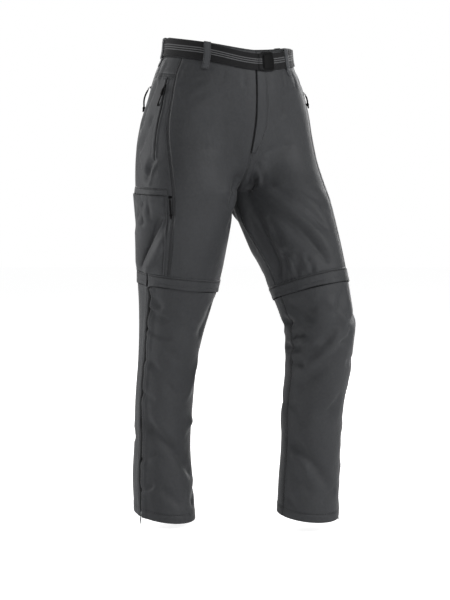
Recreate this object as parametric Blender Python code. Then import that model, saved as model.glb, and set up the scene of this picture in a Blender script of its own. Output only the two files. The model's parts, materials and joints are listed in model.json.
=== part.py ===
# Convertible zip-off trousers, worn and hollow, with a webbing belt.
# Metres. +Z is up, the wearer faces -Y, and the wearer's right is -X.
# The origin is the middle of the waist, where the wearer holds the garment up.
#
# Each half of the garment is one sheet with two coordinates.
# around: 0 at the centre front (the inseam, below the crotch), 0.5 at the outer side and
#         1 at the centre back, where it meets the inseam again below the crotch.
# drop:   the distance below the waist, from 0 to the hem.
# Every panel, band, zip and pocket is cut from that sheet, so they follow each other.

import math

import bmesh
import bpy
import numpy as np
from mathutils import Matrix, Vector

# Driving dimensions
CLOTH = 0.0015  # thickness of a cloth wall
SEAM = 0.0003  # space between two pieces that are sewn together
BAND_CLOTH = 0.0022  # the waistband has two layers
WAISTBAND_HEIGHT = 0.040
BELT_HEIGHT = 0.038
BELT_THICKNESS = 0.0022
BELT_BELOW_TOP = 0.002  # at the sides
BELT_FRONT_SAG = 0.006  # and this much lower at the centre front
LOOP_WIDTH = 0.015
LOOP_END = 0.060  # how far below the waist a belt loop is sewn down
CROTCH = 0.325  # drop of the crotch point
CROTCH_START = 0.17  # drop where the seat seam starts to curve under
ZIP_OFF = {"right": 0.540, "left": 0.547}  # drop of the zip that parts the legs
HEM = {"right": 1.052, "left": 1.044}
FRONT_SEAM = 0.365  # around, where the front panel meets the side panel
BACK_SEAM = 0.62  # around, where the side panel meets the back panel
SIDE_ZIP = 0.46  # around, where the lower leg is split by its zip
OFF_CLOTH = 0.0005  # space between a panel and what is sewn on it
SIGN = {"right": -1.0, "left": 1.0}

# The waist stands lower at the front, and on the left, where the leg steps forward
WAIST_SLOPE_ACROSS = -0.045
WAIST_SLOPE_FRONT = 0.12
WAIST_SLOPE_BACK = -0.03
WAIST_FRONT_DIP = 0.008


def table(columns, rows):
    """A short table with named columns, one row for each section."""
    return dict(zip(columns.split(), np.array(rows, float).T))


# Sections of the seat and hips, each the half ellipse from centre front to centre back
TORSO = table(
    "drop half_width front_depth back_depth centre_y",
    [
        (0.000, 0.147, 0.119, 0.116, 0.000),
        (0.040, 0.153, 0.123, 0.122, 0.000),
        (0.070, 0.168, 0.126, 0.127, 0.000),
        (0.100, 0.179, 0.127, 0.131, 0.000),
        (0.130, 0.187, 0.127, 0.135, 0.000),
        (0.165, 0.196, 0.128, 0.138, 0.003),
        (0.200, 0.203, 0.128, 0.138, 0.008),
        (0.260, 0.211, 0.126, 0.133, 0.010),
        (0.330, 0.216, 0.118, 0.126, 0.008),
        (0.400, 0.212, 0.112, 0.118, 0.004),
    ],
)

# Sections of each leg, an ellipse across the leg.
# slope_x and slope_y say how the section leans: the rise of its plane along X and along Y.
LEG = {
    "right": table(
        "drop centre_x centre_y half_width half_depth slope_x slope_y",
        [
            (0.100, -0.100, 0.016, 0.0995, 0.124, 0.00, 0.00),
            (0.200, -0.104, 0.012, 0.1037, 0.122, 0.00, 0.00),
            (0.260, -0.106, 0.008, 0.1058, 0.118, 0.00, 0.02),
            (0.325, -0.1075, 0.004, 0.1070, 0.112, -0.02, 0.04),
            (0.380, -0.1072, 0.009, 0.1040, 0.106, -0.04, 0.06),
            (0.437, -0.1060, 0.019, 0.0988, 0.100, -0.06, 0.08),
            (0.531, -0.1080, 0.036, 0.0890, 0.090, -0.088, 0.080),
            (0.585, -0.1110, 0.046, 0.0790, 0.081, -0.080, 0.080),
            (0.638, -0.1130, 0.058, 0.0710, 0.074, -0.060, 0.090),
            (0.700, -0.1150, 0.070, 0.0655, 0.069, -0.040, 0.090),
            (0.794, -0.1180, 0.082, 0.0645, 0.066, -0.030, 0.080),
            (0.905, -0.1200, 0.088, 0.0630, 0.066, -0.030, 0.100),
            (0.972, -0.1200, 0.086, 0.0670, 0.071, -0.035, 0.150),
            (1.045, -0.1190, 0.080, 0.0680, 0.072, -0.043, 0.200),
        ],
    ),
    "left": table(
        "drop centre_x centre_y half_width half_depth slope_x slope_y",
        [
            (0.100, 0.100, 0.016, 0.0995, 0.124, 0.00, 0.00),
            (0.200, 0.104, 0.008, 0.1037, 0.122, 0.00, -0.04),
            (0.260, 0.106, -0.006, 0.1058, 0.118, 0.02, -0.08),
            (0.325, 0.1075, -0.032, 0.1070, 0.112, 0.06, -0.14),
            (0.380, 0.1100, -0.062, 0.1045, 0.106, 0.10, -0.20),
            (0.437, 0.1168, -0.093, 0.0945, 0.099, 0.13, -0.24),
            (0.477, 0.1222, -0.113, 0.0872, 0.095, 0.14, -0.25),
            (0.531, 0.1297, -0.133, 0.0820, 0.087, 0.149, -0.248),
            (0.585, 0.1350, -0.152, 0.0780, 0.081, 0.120, -0.180),
            (0.627, 0.1395, -0.161, 0.0765, 0.079, 0.080, -0.100),
            (0.678, 0.1395, -0.158, 0.0745, 0.078, 0.030, 0.000),
            (0.731, 0.1385, -0.153, 0.0705, 0.074, 0.000, 0.060),
            (0.794, 0.1370, -0.138, 0.0680, 0.071, -0.010, 0.080),
            (0.905, 0.1360, -0.130, 0.0650, 0.068, -0.010, 0.100),
            (0.972, 0.1350, -0.125, 0.0665, 0.069, -0.012, 0.140),
            (1.045, 0.1340, -0.122, 0.0675, 0.070, -0.012, 0.170),
        ],
    ),
}

# Folds. Each runs from one place on the sheet to another; width is half its breadth and
# rise is its height, below zero for a trough.
FOLDS = {
    "right": table(
        "around drop around_end drop_end width rise",
        [
            (0.390, 0.375, 0.510, 0.510, 0.015, -0.0070),
            (0.370, 0.400, 0.480, 0.512, 0.011, 0.0030),
            (0.530, 0.350, 0.560, 0.420, 0.012, -0.0030),
            (0.450, 0.552, 0.390, 0.590, 0.010, -0.0035),
            (0.350, 0.672, 0.265, 0.700, 0.012, -0.0025),
            (0.100, 0.690, 0.210, 0.790, 0.012, 0.0035),
            (0.060, 0.680, 0.120, 0.740, 0.012, -0.0040),
            (0.440, 0.835, 0.240, 0.908, 0.014, -0.0050),
            (0.260, 0.900, 0.110, 0.957, 0.013, -0.0045),
            (0.400, 0.830, 0.200, 0.898, 0.012, 0.0025),
            (0.350, 0.978, 0.230, 1.014, 0.011, -0.0030),
            (0.720, 0.330, 0.920, 0.400, 0.016, -0.0050),
            (0.700, 0.370, 0.900, 0.440, 0.014, 0.0030),
            (0.850, 0.660, 0.620, 0.700, 0.014, -0.0045),
            (0.880, 0.700, 0.660, 0.745, 0.014, -0.0040),
            (0.900, 0.900, 0.650, 0.980, 0.015, -0.0050),
        ],
    ),
    "left": table(
        "around drop around_end drop_end width rise",
        [
            (0.035, 0.300, 0.250, 0.505, 0.014, -0.0055),
            (0.130, 0.320, 0.285, 0.440, 0.012, -0.0030),
            (0.090, 0.300, 0.270, 0.470, 0.012, 0.0025),
            (0.068, 0.345, 0.045, 0.500, 0.014, -0.0070),
            (0.015, 0.370, 0.022, 0.490, 0.010, 0.0035),
            (0.048, 0.555, 0.130, 0.612, 0.011, -0.0055),
            (0.095, 0.556, 0.150, 0.592, 0.009, -0.0030),
            (-0.040, 0.600, 0.035, 0.610, 0.010, -0.0050),
            (-0.045, 0.664, 0.085, 0.668, 0.009, -0.0045),
            (0.060, 0.648, 0.190, 0.665, 0.009, 0.0030),
            (0.255, 0.644, 0.045, 0.730, 0.011, 0.0045),
            (0.250, 0.618, 0.120, 0.690, 0.011, -0.0035),
            (0.270, 0.672, 0.070, 0.752, 0.012, -0.0035),
            (0.035, 0.872, 0.160, 0.912, 0.013, -0.0045),
            (0.150, 0.908, 0.280, 0.970, 0.014, -0.0050),
            (0.065, 0.945, 0.175, 0.980, 0.011, -0.0025),
            (0.720, 0.330, 0.920, 0.400, 0.016, -0.0050),
            (0.900, 0.640, 0.660, 0.665, 0.014, -0.0060),
            (0.920, 0.690, 0.680, 0.680, 0.013, -0.0050),
            (0.880, 0.860, 0.660, 0.950, 0.015, -0.0050),
        ],
    ),
}
FOLD_ROUND = {"torso": 0.60, "leg": 0.45}  # mean length around the sheet, for fold widths


def column(rows, name, at):
    """Reads a table's column at any drop, on a smooth curve through its rows."""
    x = rows["drop"]
    y = rows[name]
    slope = np.gradient(y, x)
    i = np.clip(np.searchsorted(x, at) - 1, 0, len(x) - 2)
    span = x[i + 1] - x[i]
    t = np.clip((at - x[i]) / span, 0.0, 1.0)
    a = (1 + 2 * t) * (1 - t) ** 2
    b = t * (1 - t) ** 2
    c = t * t * (3 - 2 * t)
    d = t * t * (t - 1)
    return a * y[i] + b * span * slope[i] + c * y[i + 1] + d * span * slope[i + 1]


def ease(t):
    """0 before 0, 1 after 1 and a smooth step between."""
    t = np.clip(t, 0.0, 1.0)
    return t * t * (3 - 2 * t)


def torso_section(side, around, drop):
    """A point of the seat and hips as if there were no legs."""
    front = np.cos(math.pi * around)
    depth = np.where(front > 0, column(TORSO, "front_depth", drop), column(TORSO, "back_depth", drop))
    x = SIGN[side] * column(TORSO, "half_width", drop) * np.sin(math.pi * around)
    y = column(TORSO, "centre_y", drop) - depth * front
    rise = WAIST_SLOPE_ACROSS * x + WAIST_SLOPE_FRONT * np.minimum(y, 0)
    rise = rise + WAIST_SLOPE_BACK * np.maximum(y, 0) - WAIST_FRONT_DIP * np.maximum(front, 0) ** 6
    return np.stack([x, y, rise * (1 - ease(drop / 0.22)) - drop], -1)


def leg_section(side, around, drop):
    """A point of one leg as if it went on up past the crotch."""
    rows = LEG[side]
    across = -SIGN[side] * column(rows, "half_width", drop) * np.cos(2 * math.pi * around)
    along = -column(rows, "half_depth", drop) * np.sin(2 * math.pi * around)
    x = column(rows, "centre_x", drop) + across
    y = column(rows, "centre_y", drop) + along
    rise = column(rows, "slope_x", drop) * across + column(rows, "slope_y", drop) * along
    return np.stack([x, y, rise - drop], -1)


def joined_sections(side, around, drop):
    """The torso turning into the leg: tight at the seat seam, gentle over the thigh."""
    t = np.clip((drop - CROTCH_START) / (CROTCH - CROTCH_START), 0.0, 1.0)
    at_seam = 1 - np.sqrt(1 - t * t)
    at_thigh = ease((drop - 0.10) / 0.27)
    away = ease(np.minimum(around, 1 - around) / 0.22)
    share = ((1 - away) * at_seam + away * at_thigh)[..., None]
    return (1 - share) * torso_section(side, around, drop) + share * leg_section(side, around, drop)


def smooth_sheet(side, around, drop):
    """The sheet before its folds, with both halves brought together at the centre seam."""
    points = joined_sections(side, around, drop)
    held = np.minimum(drop, CROTCH)
    fade = np.exp(-np.maximum(drop - CROTCH, 0) / 0.05)
    for edge, near in ((0.0, around), (1.0, 1 - around)):
        right = joined_sections("right", np.full_like(around, edge), held)
        left = joined_sections("left", np.full_like(around, edge), held)
        own = right if side == "right" else left
        shared = (right + left) / 2
        shared[..., 0] = SIGN[side] * SEAM / 2
        points = points + (shared - own) * (ease(1 - near / 0.25) * fade)[..., None]
    return points


def fold_height(side, around, drop):
    """How far the folds lift or sink the sheet. Below the crotch they run on past the inseam."""
    rows = FOLDS[side]
    height = np.zeros_like(around)
    long_way = np.where(drop < CROTCH, FOLD_ROUND["torso"], FOLD_ROUND["leg"])
    for k in range(len(rows["drop"])):
        bx = (rows["around_end"][k] - rows["around"][k]) * long_way
        by = rows["drop_end"][k] - rows["drop"][k]
        for turn in (-1, 0, 1):
            ax = (around + turn - rows["around"][k]) * long_way
            ay = drop - rows["drop"][k]
            t = (ax * bx + ay * by) / (bx * bx + by * by)
            off = np.hypot(ax - np.clip(t, 0, 1) * bx, ay - np.clip(t, 0, 1) * by)
            ends = ease((t + 0.15) / 0.4) * ease((1.15 - t) / 0.4)
            height += rows["rise"][k] * np.exp(-((off / rows["width"][k]) ** 2)) * ends
    at_seam = ease(np.minimum(around, 1 - around) / 0.06)
    at_seam = np.maximum(at_seam, ease((drop - CROTCH - 0.01) / 0.06))
    at_zip = ease(np.abs(drop - ZIP_OFF[side]) / 0.045)
    return height * at_seam * at_zip * ease((drop - 0.06) / 0.04)


def normals_of(points_at, side, around, drop):
    """Unit normals that point out of the garment."""
    h = 0.002
    lo = np.clip(around - h, 0, 1)
    hi = np.clip(around + h, 0, 1)
    across = points_at(side, hi, drop) - points_at(side, lo, drop)
    down = points_at(side, around, drop + h) - points_at(side, around, drop - h)
    n = np.cross(across, down) * -SIGN[side]
    return n / np.maximum(np.linalg.norm(n, axis=-1, keepdims=True), 1e-12)


def sheet(side, around, drop):
    """The outer face of the cloth, folds and all."""
    around = np.asarray(around, float)
    drop = np.asarray(drop, float)
    points = smooth_sheet(side, around, drop)
    lift = fold_height(side, around, drop)[..., None]
    return points + normals_of(smooth_sheet, side, around, drop) * lift


def layer(side, around, drop, out):
    """Points at a distance out from the sheet, kept on their own side of the centre seam."""
    points = sheet(side, around, drop)
    points = points + normals_of(sheet, side, around, drop) * np.asarray(out)[..., None]
    own = np.maximum(points[..., 0] * SIGN[side], SEAM / 2)
    points[..., 0] = np.where(drop < CROTCH + 0.05, own * SIGN[side], points[..., 0])
    return points


# Pieces cut from the sheet

UPPER_TOP = WAISTBAND_HEIGHT + SEAM
ZIP_TAPE = 0.012  # height of the zip that joins the two parts of a leg
BAND_HEIGHT = 0.027  # the flap that covers it
BAND_LIFT = 0.0005  # its lower edge ends this far above the zip's own
FRONT_COLUMNS = np.linspace(0, FRONT_SEAM, 11)
SIDE_COLUMNS = np.array([FRONT_SEAM, 0.39, 0.415, 0.46, 0.51, 0.565, BACK_SEAM])
BACK_COLUMNS = np.linspace(BACK_SEAM, 1, 11)
TAPE_HALF = 0.0045  # half the width of a pocket's or a side zip's tape
TAPE_THICK = 0.001
SIDE_ZIP_START = 0.006  # below the zip-off zip
SIDE_ZIP_END = 0.016  # above the hem
SIDE_SLIDER_UP = 0.0075  # the slider's middle above the hem
LOWER_FRONT_COLUMNS = np.linspace(0, SIDE_ZIP, 12)
LOWER_BACK_COLUMNS = np.linspace(SIDE_ZIP, 1, 13)


def upper_rows(side):
    """Drops of the rows of points above the zip-off zip, closest at the crotch."""
    seat = np.linspace(UPPER_TOP, 0.27, 12)
    under = np.array([0.29, 0.306, 0.317, CROTCH, 0.337, 0.352])
    band = ZIP_OFF[side] - np.array([BAND_HEIGHT, ZIP_TAPE + SEAM])
    thigh = np.linspace(0.352, band[0], 9)[1:]
    return np.concatenate([seat, under, thigh, band[1:]])


def lower_rows(side):
    """Drops of the rows of points from the zip-off zip to the hem."""
    return np.linspace(ZIP_OFF[side] + SEAM, HEM[side], 25)


def material(name, colour, roughness, metallic=0.0):
    found = bpy.data.materials.get(name)
    if found:
        return found
    made = bpy.data.materials.new(name)
    made.use_nodes = True
    shader = made.node_tree.nodes["Principled BSDF"]
    shader.inputs["Base Color"].default_value = (*colour, 1.0)
    shader.inputs["Roughness"].default_value = roughness
    shader.inputs["Metallic"].default_value = metallic
    return made


def cloth():
    return material("dark_grey_nylon", (0.060, 0.062, 0.067), 0.75)


def webbing():
    return material("black_webbing", (0.022, 0.022, 0.023), 0.8)


def plastic():
    return material("black_plastic", (0.012, 0.012, 0.013), 0.4)


def zip_tape():
    return material("black_zip_tape", (0.015, 0.015, 0.016), 0.6)


def metal():
    return material("grey_metal", (0.32, 0.33, 0.34), 0.35, 1.0)


def add_object(name, points, faces, finish):
    mesh = bpy.data.meshes.new(name)
    mesh.from_pydata([tuple(p) for p in points], [], faces)
    bm = bmesh.new()
    bm.from_mesh(mesh)
    bmesh.ops.recalc_face_normals(bm, faces=bm.faces)
    bm.to_mesh(mesh)
    bm.free()
    mesh.materials.append(finish)
    made = bpy.data.objects.new(name, mesh)
    bpy.context.collection.objects.link(made)
    return made


def wall(name, outer, inner, finish, round_trip=False):
    """A closed wall between two grids of points. round_trip joins its last column to its first."""
    rows, columns = outer.shape[:2]
    points = np.concatenate([outer.reshape(-1, 3), inner.reshape(-1, 3)])
    inside = rows * columns
    faces = []
    cells = columns if round_trip else columns - 1
    for r in range(rows - 1):
        for c in range(cells):
            a = r * columns + c
            b = r * columns + (c + 1) % columns
            d = a + columns
            e = b + columns
            faces += [(a, b, e), (a, e, d), (a + inside, e + inside, b + inside)]
            faces += [(a + inside, d + inside, e + inside)]
    for c in range(cells):
        for r in (0, rows - 1):
            a = r * columns + c
            b = r * columns + (c + 1) % columns
            faces += [(a, b, b + inside), (a, b + inside, a + inside)]
    if not round_trip:
        for r in range(rows - 1):
            for c in (0, columns - 1):
                a = r * columns + c
                d = a + columns
                faces += [(a, d, d + inside), (a, d + inside, a + inside)]
    return add_object(name, points, faces, finish)


def length_per_around(side, around, drop):
    """Metres of cloth for each unit around."""
    h = 0.004
    lo = np.clip(around - h, 0, 1)
    hi = np.clip(around + h, 0, 1)
    gap = smooth_sheet(side, hi, drop) - smooth_sheet(side, lo, drop)
    return np.linalg.norm(gap, axis=-1) / (hi - lo)


def seamed(side, columns, rows):
    """A grid of (around, drop) whose first and last columns stand off their seams."""
    around, drop = np.meshgrid(np.asarray(columns, float), np.asarray(rows, float))
    shift = SEAM / 2 / length_per_around(side, around, drop)
    around[:, 0] += shift[:, 0]
    around[:, -1] -= shift[:, -1]
    return around, drop


def panel(name, side, columns, rows, finish, out=0.0, thick=CLOTH):
    """A panel of the sheet, or a piece that lies out from it."""
    around, drop = seamed(side, columns, rows)
    outer = layer(side, around, drop, np.full_like(around, out))
    inner = layer(side, around, drop, np.full_like(around, out - thick))
    return wall(name, outer, inner, finish)


def ring(name, side, columns, rows, finish, out=0.0, thick=CLOTH):
    """A closed band around a leg."""
    around, drop = np.meshgrid(columns, rows)
    outer = layer(side, around, drop, np.full_like(around, out))
    inner = layer(side, around, drop, np.full_like(around, out - thick))
    return wall(name, outer, inner, finish, round_trip=True)


UPPER_COLUMNS = np.concatenate([FRONT_COLUMNS, SIDE_COLUMNS[1:], BACK_COLUMNS[1:]])
LOWER_COLUMNS = np.concatenate([LOWER_FRONT_COLUMNS, LOWER_BACK_COLUMNS[1:]])


def cell_around(upper, lower, at, on_lower):
    """The two lines of points that a place lies between, on the upper or the lower panels."""
    ends = []
    for lines in (upper, lower):
        i = np.clip(np.searchsorted(lines, at) - 1, 0, len(lines) - 2)
        ends.append((lines[i], lines[i + 1]))
    return [np.where(on_lower, ends[1][k], ends[0][k]) for k in (0, 1)]


def on_panel(side, around, drop, out):
    """Points over the flat faces of the panels: between their own points, moved out."""
    around, drop, out = np.broadcast_arrays(*[np.asarray(v, float) for v in (around, drop, out)])
    on_lower = drop > ZIP_OFF[side]
    left, right = cell_around(UPPER_COLUMNS, LOWER_COLUMNS, around, on_lower)
    top, bottom = cell_around(upper_rows(side), lower_rows(side), drop, on_lower)
    a = ((around - left) / (right - left))[..., None]
    b = ((drop - top) / (bottom - top))[..., None]
    across = np.stack([left, right, left, right])
    down = np.stack([top, top, bottom, bottom])
    corner = layer(side, across, down, np.broadcast_to(out, across.shape))
    over = corner[0] * (1 - a) + corner[1] * (a - b) + corner[3] * b
    under = corner[0] * (1 - b) + corner[2] * (b - a) + corner[3] * a
    return np.where(a > b, over, under)


def rows_between(side, start, end):
    """The panels' own rows between two drops, with the two ends."""
    own = lower_rows(side) if start > ZIP_OFF[side] else upper_rows(side)
    return np.concatenate([[start], own[(own > start + 0.002) & (own < end - 0.002)], [end]])


def zip_strip(name, side, centre, start, end):
    """A zip's tape that runs down over a panel; centre gives its place around at a drop."""
    drop = rows_between(side, start, end)
    middle = np.array([centre(d) for d in drop])
    spread = TAPE_HALF / length_per_around(side, middle, drop)
    around = np.stack([middle - spread, middle, middle + spread], 1)
    drops = np.repeat(drop[:, None], 3, 1)
    outer = on_panel(side, around, drops, OFF_CLOTH + TAPE_THICK)
    inner = on_panel(side, around, drops, OFF_CLOTH)
    return wall(name, outer, inner, zip_tape())


def make_upper_panels(side):
    rows = upper_rows(side)
    panel("front_" + side, side, FRONT_COLUMNS, rows, cloth())
    panel("side_" + side, side, SIDE_COLUMNS, rows, cloth())
    panel("back_" + side, side, BACK_COLUMNS, rows, cloth())


def make_lower_leg(side):
    rows = lower_rows(side)
    panel("lower_front_" + side, side, LOWER_FRONT_COLUMNS, rows, cloth())
    panel("lower_back_" + side, side, LOWER_BACK_COLUMNS, rows, cloth())
    start = ZIP_OFF[side] + SIDE_ZIP_START
    end = HEM[side] - SIDE_ZIP_END
    zip_strip("side_zip_" + side, side, lambda drop: SIDE_ZIP, start, end)


def make_zip_off(side):
    """The zip all round the thigh and the flap that hides it."""
    zip_rows = [ZIP_OFF[side] - ZIP_TAPE, ZIP_OFF[side]]
    columns = UPPER_COLUMNS[:-1]
    ring("zip_off_zip_" + side, side, columns, zip_rows, zip_tape())
    top = ZIP_OFF[side] - BAND_HEIGHT
    flap_rows = [top, ZIP_OFF[side] - ZIP_TAPE - SEAM, ZIP_OFF[side] - BAND_LIFT]
    ring("zip_off_flap_" + side, side, columns, flap_rows, cloth(), out=OFF_CLOTH + CLOTH)


WAIST_COLUMNS = np.linspace(0, 1, 21)


def make_waistband(side):
    rows = [0.0, WAISTBAND_HEIGHT / 2, WAISTBAND_HEIGHT]
    panel("waistband_" + side, side, WAIST_COLUMNS, rows, cloth(), out=0.0006, thick=BAND_CLOTH)


def waist_points(places, drop, out):
    """Points over the waistband. A place runs from 0 at the centre front to 1 at the back on
    the left, and from 0 to -1 on the right."""
    places, drop, out = np.broadcast_arrays(*[np.asarray(v, float) for v in (places, drop, out)])
    points = {}
    for side in ("right", "left"):
        around = np.clip(np.abs(places), 0, 1)
        points[side] = layer(side, around, drop, out)
    return np.where((places < 0)[..., None], points["right"], points["left"])


BELT_OUT = 0.0009  # inner face of the belt over the sheet
BUCKLE_START = 0.026
BUCKLE_END = 0.094
BUCKLE_TOP = 0.004
BUCKLE_HEIGHT = 0.043
BUCKLE_OUT = 0.0085
LOOP_CLOTH = 0.0012
FLY_WIDTH = 0.052
FLY_END = 0.245
HIP_ZIP = table(
    "drop around",
    [(0.083, 0.420), (0.150, 0.412), (0.184, 0.417), (0.240, 0.425), (0.262, 0.430)],
)
HIP_ZIP_START = 0.085
HIP_ZIP_END = 0.262
HIP_SLIDER = 0.104  # drop of its middle
BACK_ZIP_START = 0.640
BACK_ZIP_DROP = 0.103
CARGO_TOP = 0.337
CARGO_FRONT = 0.388
CARGO_BACK = 0.605
CARGO_FULLNESS = 0.005
CARGO_SLIDER = 0.3765
SLIDER_WIDTH = 0.0064
SLIDER_LENGTH = 0.0090
SLIDER_HEIGHT = 0.0024
PULL_EYE = 0.0015
PULL_STAND = 0.0042
HINGE_LOW = 0.0025  # a pull hangs from the lower half of its slider
TAB_LENGTH = 0.020
TAB_THICK = 0.0010


def belt_top(place):
    """Drop of the belt's upper edge."""
    front = np.clip(1 - np.abs(place) / 0.30, 0, 1)
    return BELT_BELOW_TOP + BELT_FRONT_SAG * ease(front)


def add_belt():
    """One strap from the buckle round the back to the buckle again, folded back at both ends."""
    fold = 0.022  # a folded end, as a share of the way round
    start = BUCKLE_END + 0.001
    end = BUCKLE_START - 0.001
    left = [start, start + fold, start + fold + 0.002]
    left += [c for c in WAIST_COLUMNS if c > start + fold + 0.01]
    right = [-c for c in WAIST_COLUMNS[::-1] if 0 < c < 1]
    places = np.array(left + right + [0.0, end - fold - 0.002, end - fold, end])
    doubled = np.zeros(len(places), bool)
    doubled[[0, 1, -2, -1]] = True
    thick = np.where(doubled, 2 * BELT_THICKNESS, BELT_THICKNESS)
    tops = belt_top(places)
    rows = np.stack([tops, tops + BELT_HEIGHT / 2, tops + BELT_HEIGHT])
    across = np.repeat(places[None, :], 3, 0)
    outer = waist_points(across, rows, BELT_OUT + np.repeat(thick[None, :], 3, 0))
    inner = waist_points(across, rows, np.full_like(rows, BELT_OUT))
    wall("belt", outer, inner, webbing())


def add_buckle():
    """The fastened buckle, a shell of hard plastic that bulges over the strap's ends."""
    places = np.linspace(BUCKLE_START, BUCKLE_END, 7)
    rows = BUCKLE_TOP + np.linspace(0, BUCKLE_HEIGHT, 7)
    across, drop = np.meshgrid(places, rows)
    side_fall = np.abs(np.linspace(-1, 1, 7)) ** 4
    fall = np.maximum(side_fall[None, :], side_fall[:, None])
    outer = waist_points(across, drop, BUCKLE_OUT - 0.003 * fall)
    inner = waist_points(across, drop, np.full_like(drop, BELT_OUT))
    wall("buckle", outer, inner, plastic())


def add_belt_loop(name, place):
    """A strip over the belt, sewn to the top of the waistband and to the panel below it."""
    over = BELT_OUT + BELT_THICKNESS + SEAM
    below = float(belt_top(np.array(place))) + BELT_HEIGHT
    profile = table(
        "drop inner outer",
        [
            (-0.0015, -0.0010, 0.0030),
            (-0.0004, -0.0010, 0.0044),
            (-0.0003, over, over + LOOP_CLOTH),
            (0.0200, over, over + LOOP_CLOTH),
            (below + 0.0005, over, over + LOOP_CLOTH),
            (below + 0.0060, OFF_CLOTH, OFF_CLOTH + LOOP_CLOTH),
            (LOOP_END, OFF_CLOTH, OFF_CLOTH + LOOP_CLOTH),
        ],
    )
    drop = profile["drop"]
    middle = np.full_like(drop, abs(place))
    half = LOOP_WIDTH / 2 / length_per_around("left", middle, np.maximum(drop, 0.0))
    across = place + np.stack([-half, 0 * half, half], 1)
    across = np.where(across > 1, across - 2, across)
    drops = np.repeat(drop[:, None], 3, 1)
    outer = waist_points(across, drops, np.repeat(profile["outer"][:, None], 3, 1))
    inner = waist_points(across, drops, np.repeat(profile["inner"][:, None], 3, 1))
    wall(name, outer, inner, cloth())


def add_fly_placket():
    """The facing of the overlapping left front, rounded off at its lower end."""
    drop = rows_between("left", BUCKLE_TOP + BUCKLE_HEIGHT + 0.0008, FLY_END)
    width = FLY_WIDTH * np.sqrt(np.clip((FLY_END + 0.004 - drop) / 0.06, 0, 1))
    first = SEAM / length_per_around("left", np.full_like(drop, 0.01), drop)
    around = np.stack([first, first + width / 2, first + width], 1)
    drops = np.repeat(drop[:, None], 3, 1)
    outer = on_panel("left", around, drops, OFF_CLOTH + 0.0016)
    inner = on_panel("left", around, drops, OFF_CLOTH + 0.0004)
    wall("fly_placket", outer, inner, cloth())


def hip_zip_place(drop):
    return float(np.interp(drop, HIP_ZIP["drop"], HIP_ZIP["around"]))


def add_back_pocket_zip():
    columns = np.concatenate([[BACK_ZIP_START], BACK_COLUMNS[1:6]])
    rows = BACK_ZIP_DROP + np.array([-TAPE_HALF, 0, TAPE_HALF])
    around, drop = np.meshgrid(columns, rows)
    outer = on_panel("right", around, drop, OFF_CLOTH + TAPE_THICK)
    inner = on_panel("right", around, drop, OFF_CLOTH)
    wall("back_zip_right", outer, inner, zip_tape())


def add_cargo_pocket():
    """A bellows pocket on the right thigh, with a welt that hides its zip."""
    side = "right"
    columns = np.concatenate([[CARGO_FRONT], SIDE_COLUMNS[2:6], [CARGO_BACK]])
    end = ZIP_OFF[side] - BAND_HEIGHT - 0.0006
    rows = rows_between(side, CARGO_TOP, end)
    around, drop = np.meshgrid(columns, rows)
    across = (around - CARGO_FRONT) / (CARGO_BACK - CARGO_FRONT)
    down = (drop - CARGO_TOP) / (end - CARGO_TOP)
    full = CARGO_FULLNESS * np.sin(math.pi * across) * (1 - down) ** 0.5
    outer = on_panel(side, around, drop, 0.0008 + CLOTH + full)
    inner = on_panel(side, around, drop, 0.0008 + full)
    wall("cargo_pocket", outer, inner, cloth())
    rows = np.array([CARGO_TOP - 0.016, CARGO_TOP - 0.008, CARGO_TOP - 0.0006])
    around, drop = np.meshgrid(columns, rows)
    lift = np.array([0.0, 0.002, 0.004])[:, None] * np.sin(math.pi * across[:1])
    outer = on_panel(side, around, drop, OFF_CLOTH + 0.0018 + lift)
    inner = on_panel(side, around, drop, OFF_CLOTH + 0 * lift)
    wall("cargo_welt", outer, inner, cloth())


def frame_at(side, around, drop, out):
    """A place on the panels, with its directions across, down and outward."""
    point = on_panel(side, around, drop, out)
    down = on_panel(side, around, drop + 0.004, out) - on_panel(side, around, drop - 0.004, out)
    n = normals_of(sheet, side, np.array(around), np.array(drop))
    outward = Vector(n).normalized()
    down = Vector(down)
    down = (down - outward * down.dot(outward)).normalized()
    return Vector(point), down.cross(outward).normalized(), down, outward


def placed(across, down, outward, point):
    turn = Matrix((across, down, outward)).transposed().to_4x4()
    return Matrix.Translation(point) @ turn


def add_slider(name, side, around, drop, out, finish):
    """The body of a zip's slider, a small block narrower at its lower end."""
    point, across, down, outward = frame_at(side, around, drop, out)
    bm = bmesh.new()
    bmesh.ops.create_cube(bm, size=1)
    for v in bm.verts:
        narrow = 0.7 if v.co.y > 0 else 1.0
        v.co.x *= SLIDER_WIDTH * narrow
        v.co.y *= SLIDER_LENGTH
        v.co.z = (v.co.z + 0.5) * SLIDER_HEIGHT
    bmesh.ops.bevel(bm, geom=bm.edges[:], offset=0.0006, segments=1, affect="EDGES")
    bmesh.ops.transform(bm, matrix=placed(across, down, outward, point), verts=bm.verts)
    mesh = bpy.data.meshes.new(name)
    bmesh.ops.recalc_face_normals(bm, faces=bm.faces)
    bm.to_mesh(mesh)
    bm.free()
    mesh.materials.append(finish)
    made = bpy.data.objects.new(name, mesh)
    bpy.context.collection.objects.link(made)


def hinge_of(side, around, drop, out, end_around, end_drop, end_out):
    """Where a pull hangs from its slider, and the way it lies at rest."""
    point, across, down, outward = frame_at(side, around, drop, out + SLIDER_HEIGHT)
    start = point + outward * (PULL_EYE + SEAM) + down * HINGE_LOW
    end = Vector(on_panel(side, end_around, end_drop, end_out))
    lie = (end - start).normalized()
    outward = (outward - lie * outward.dot(lie)).normalized()
    return start, lie, outward, (end - start).length


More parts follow.
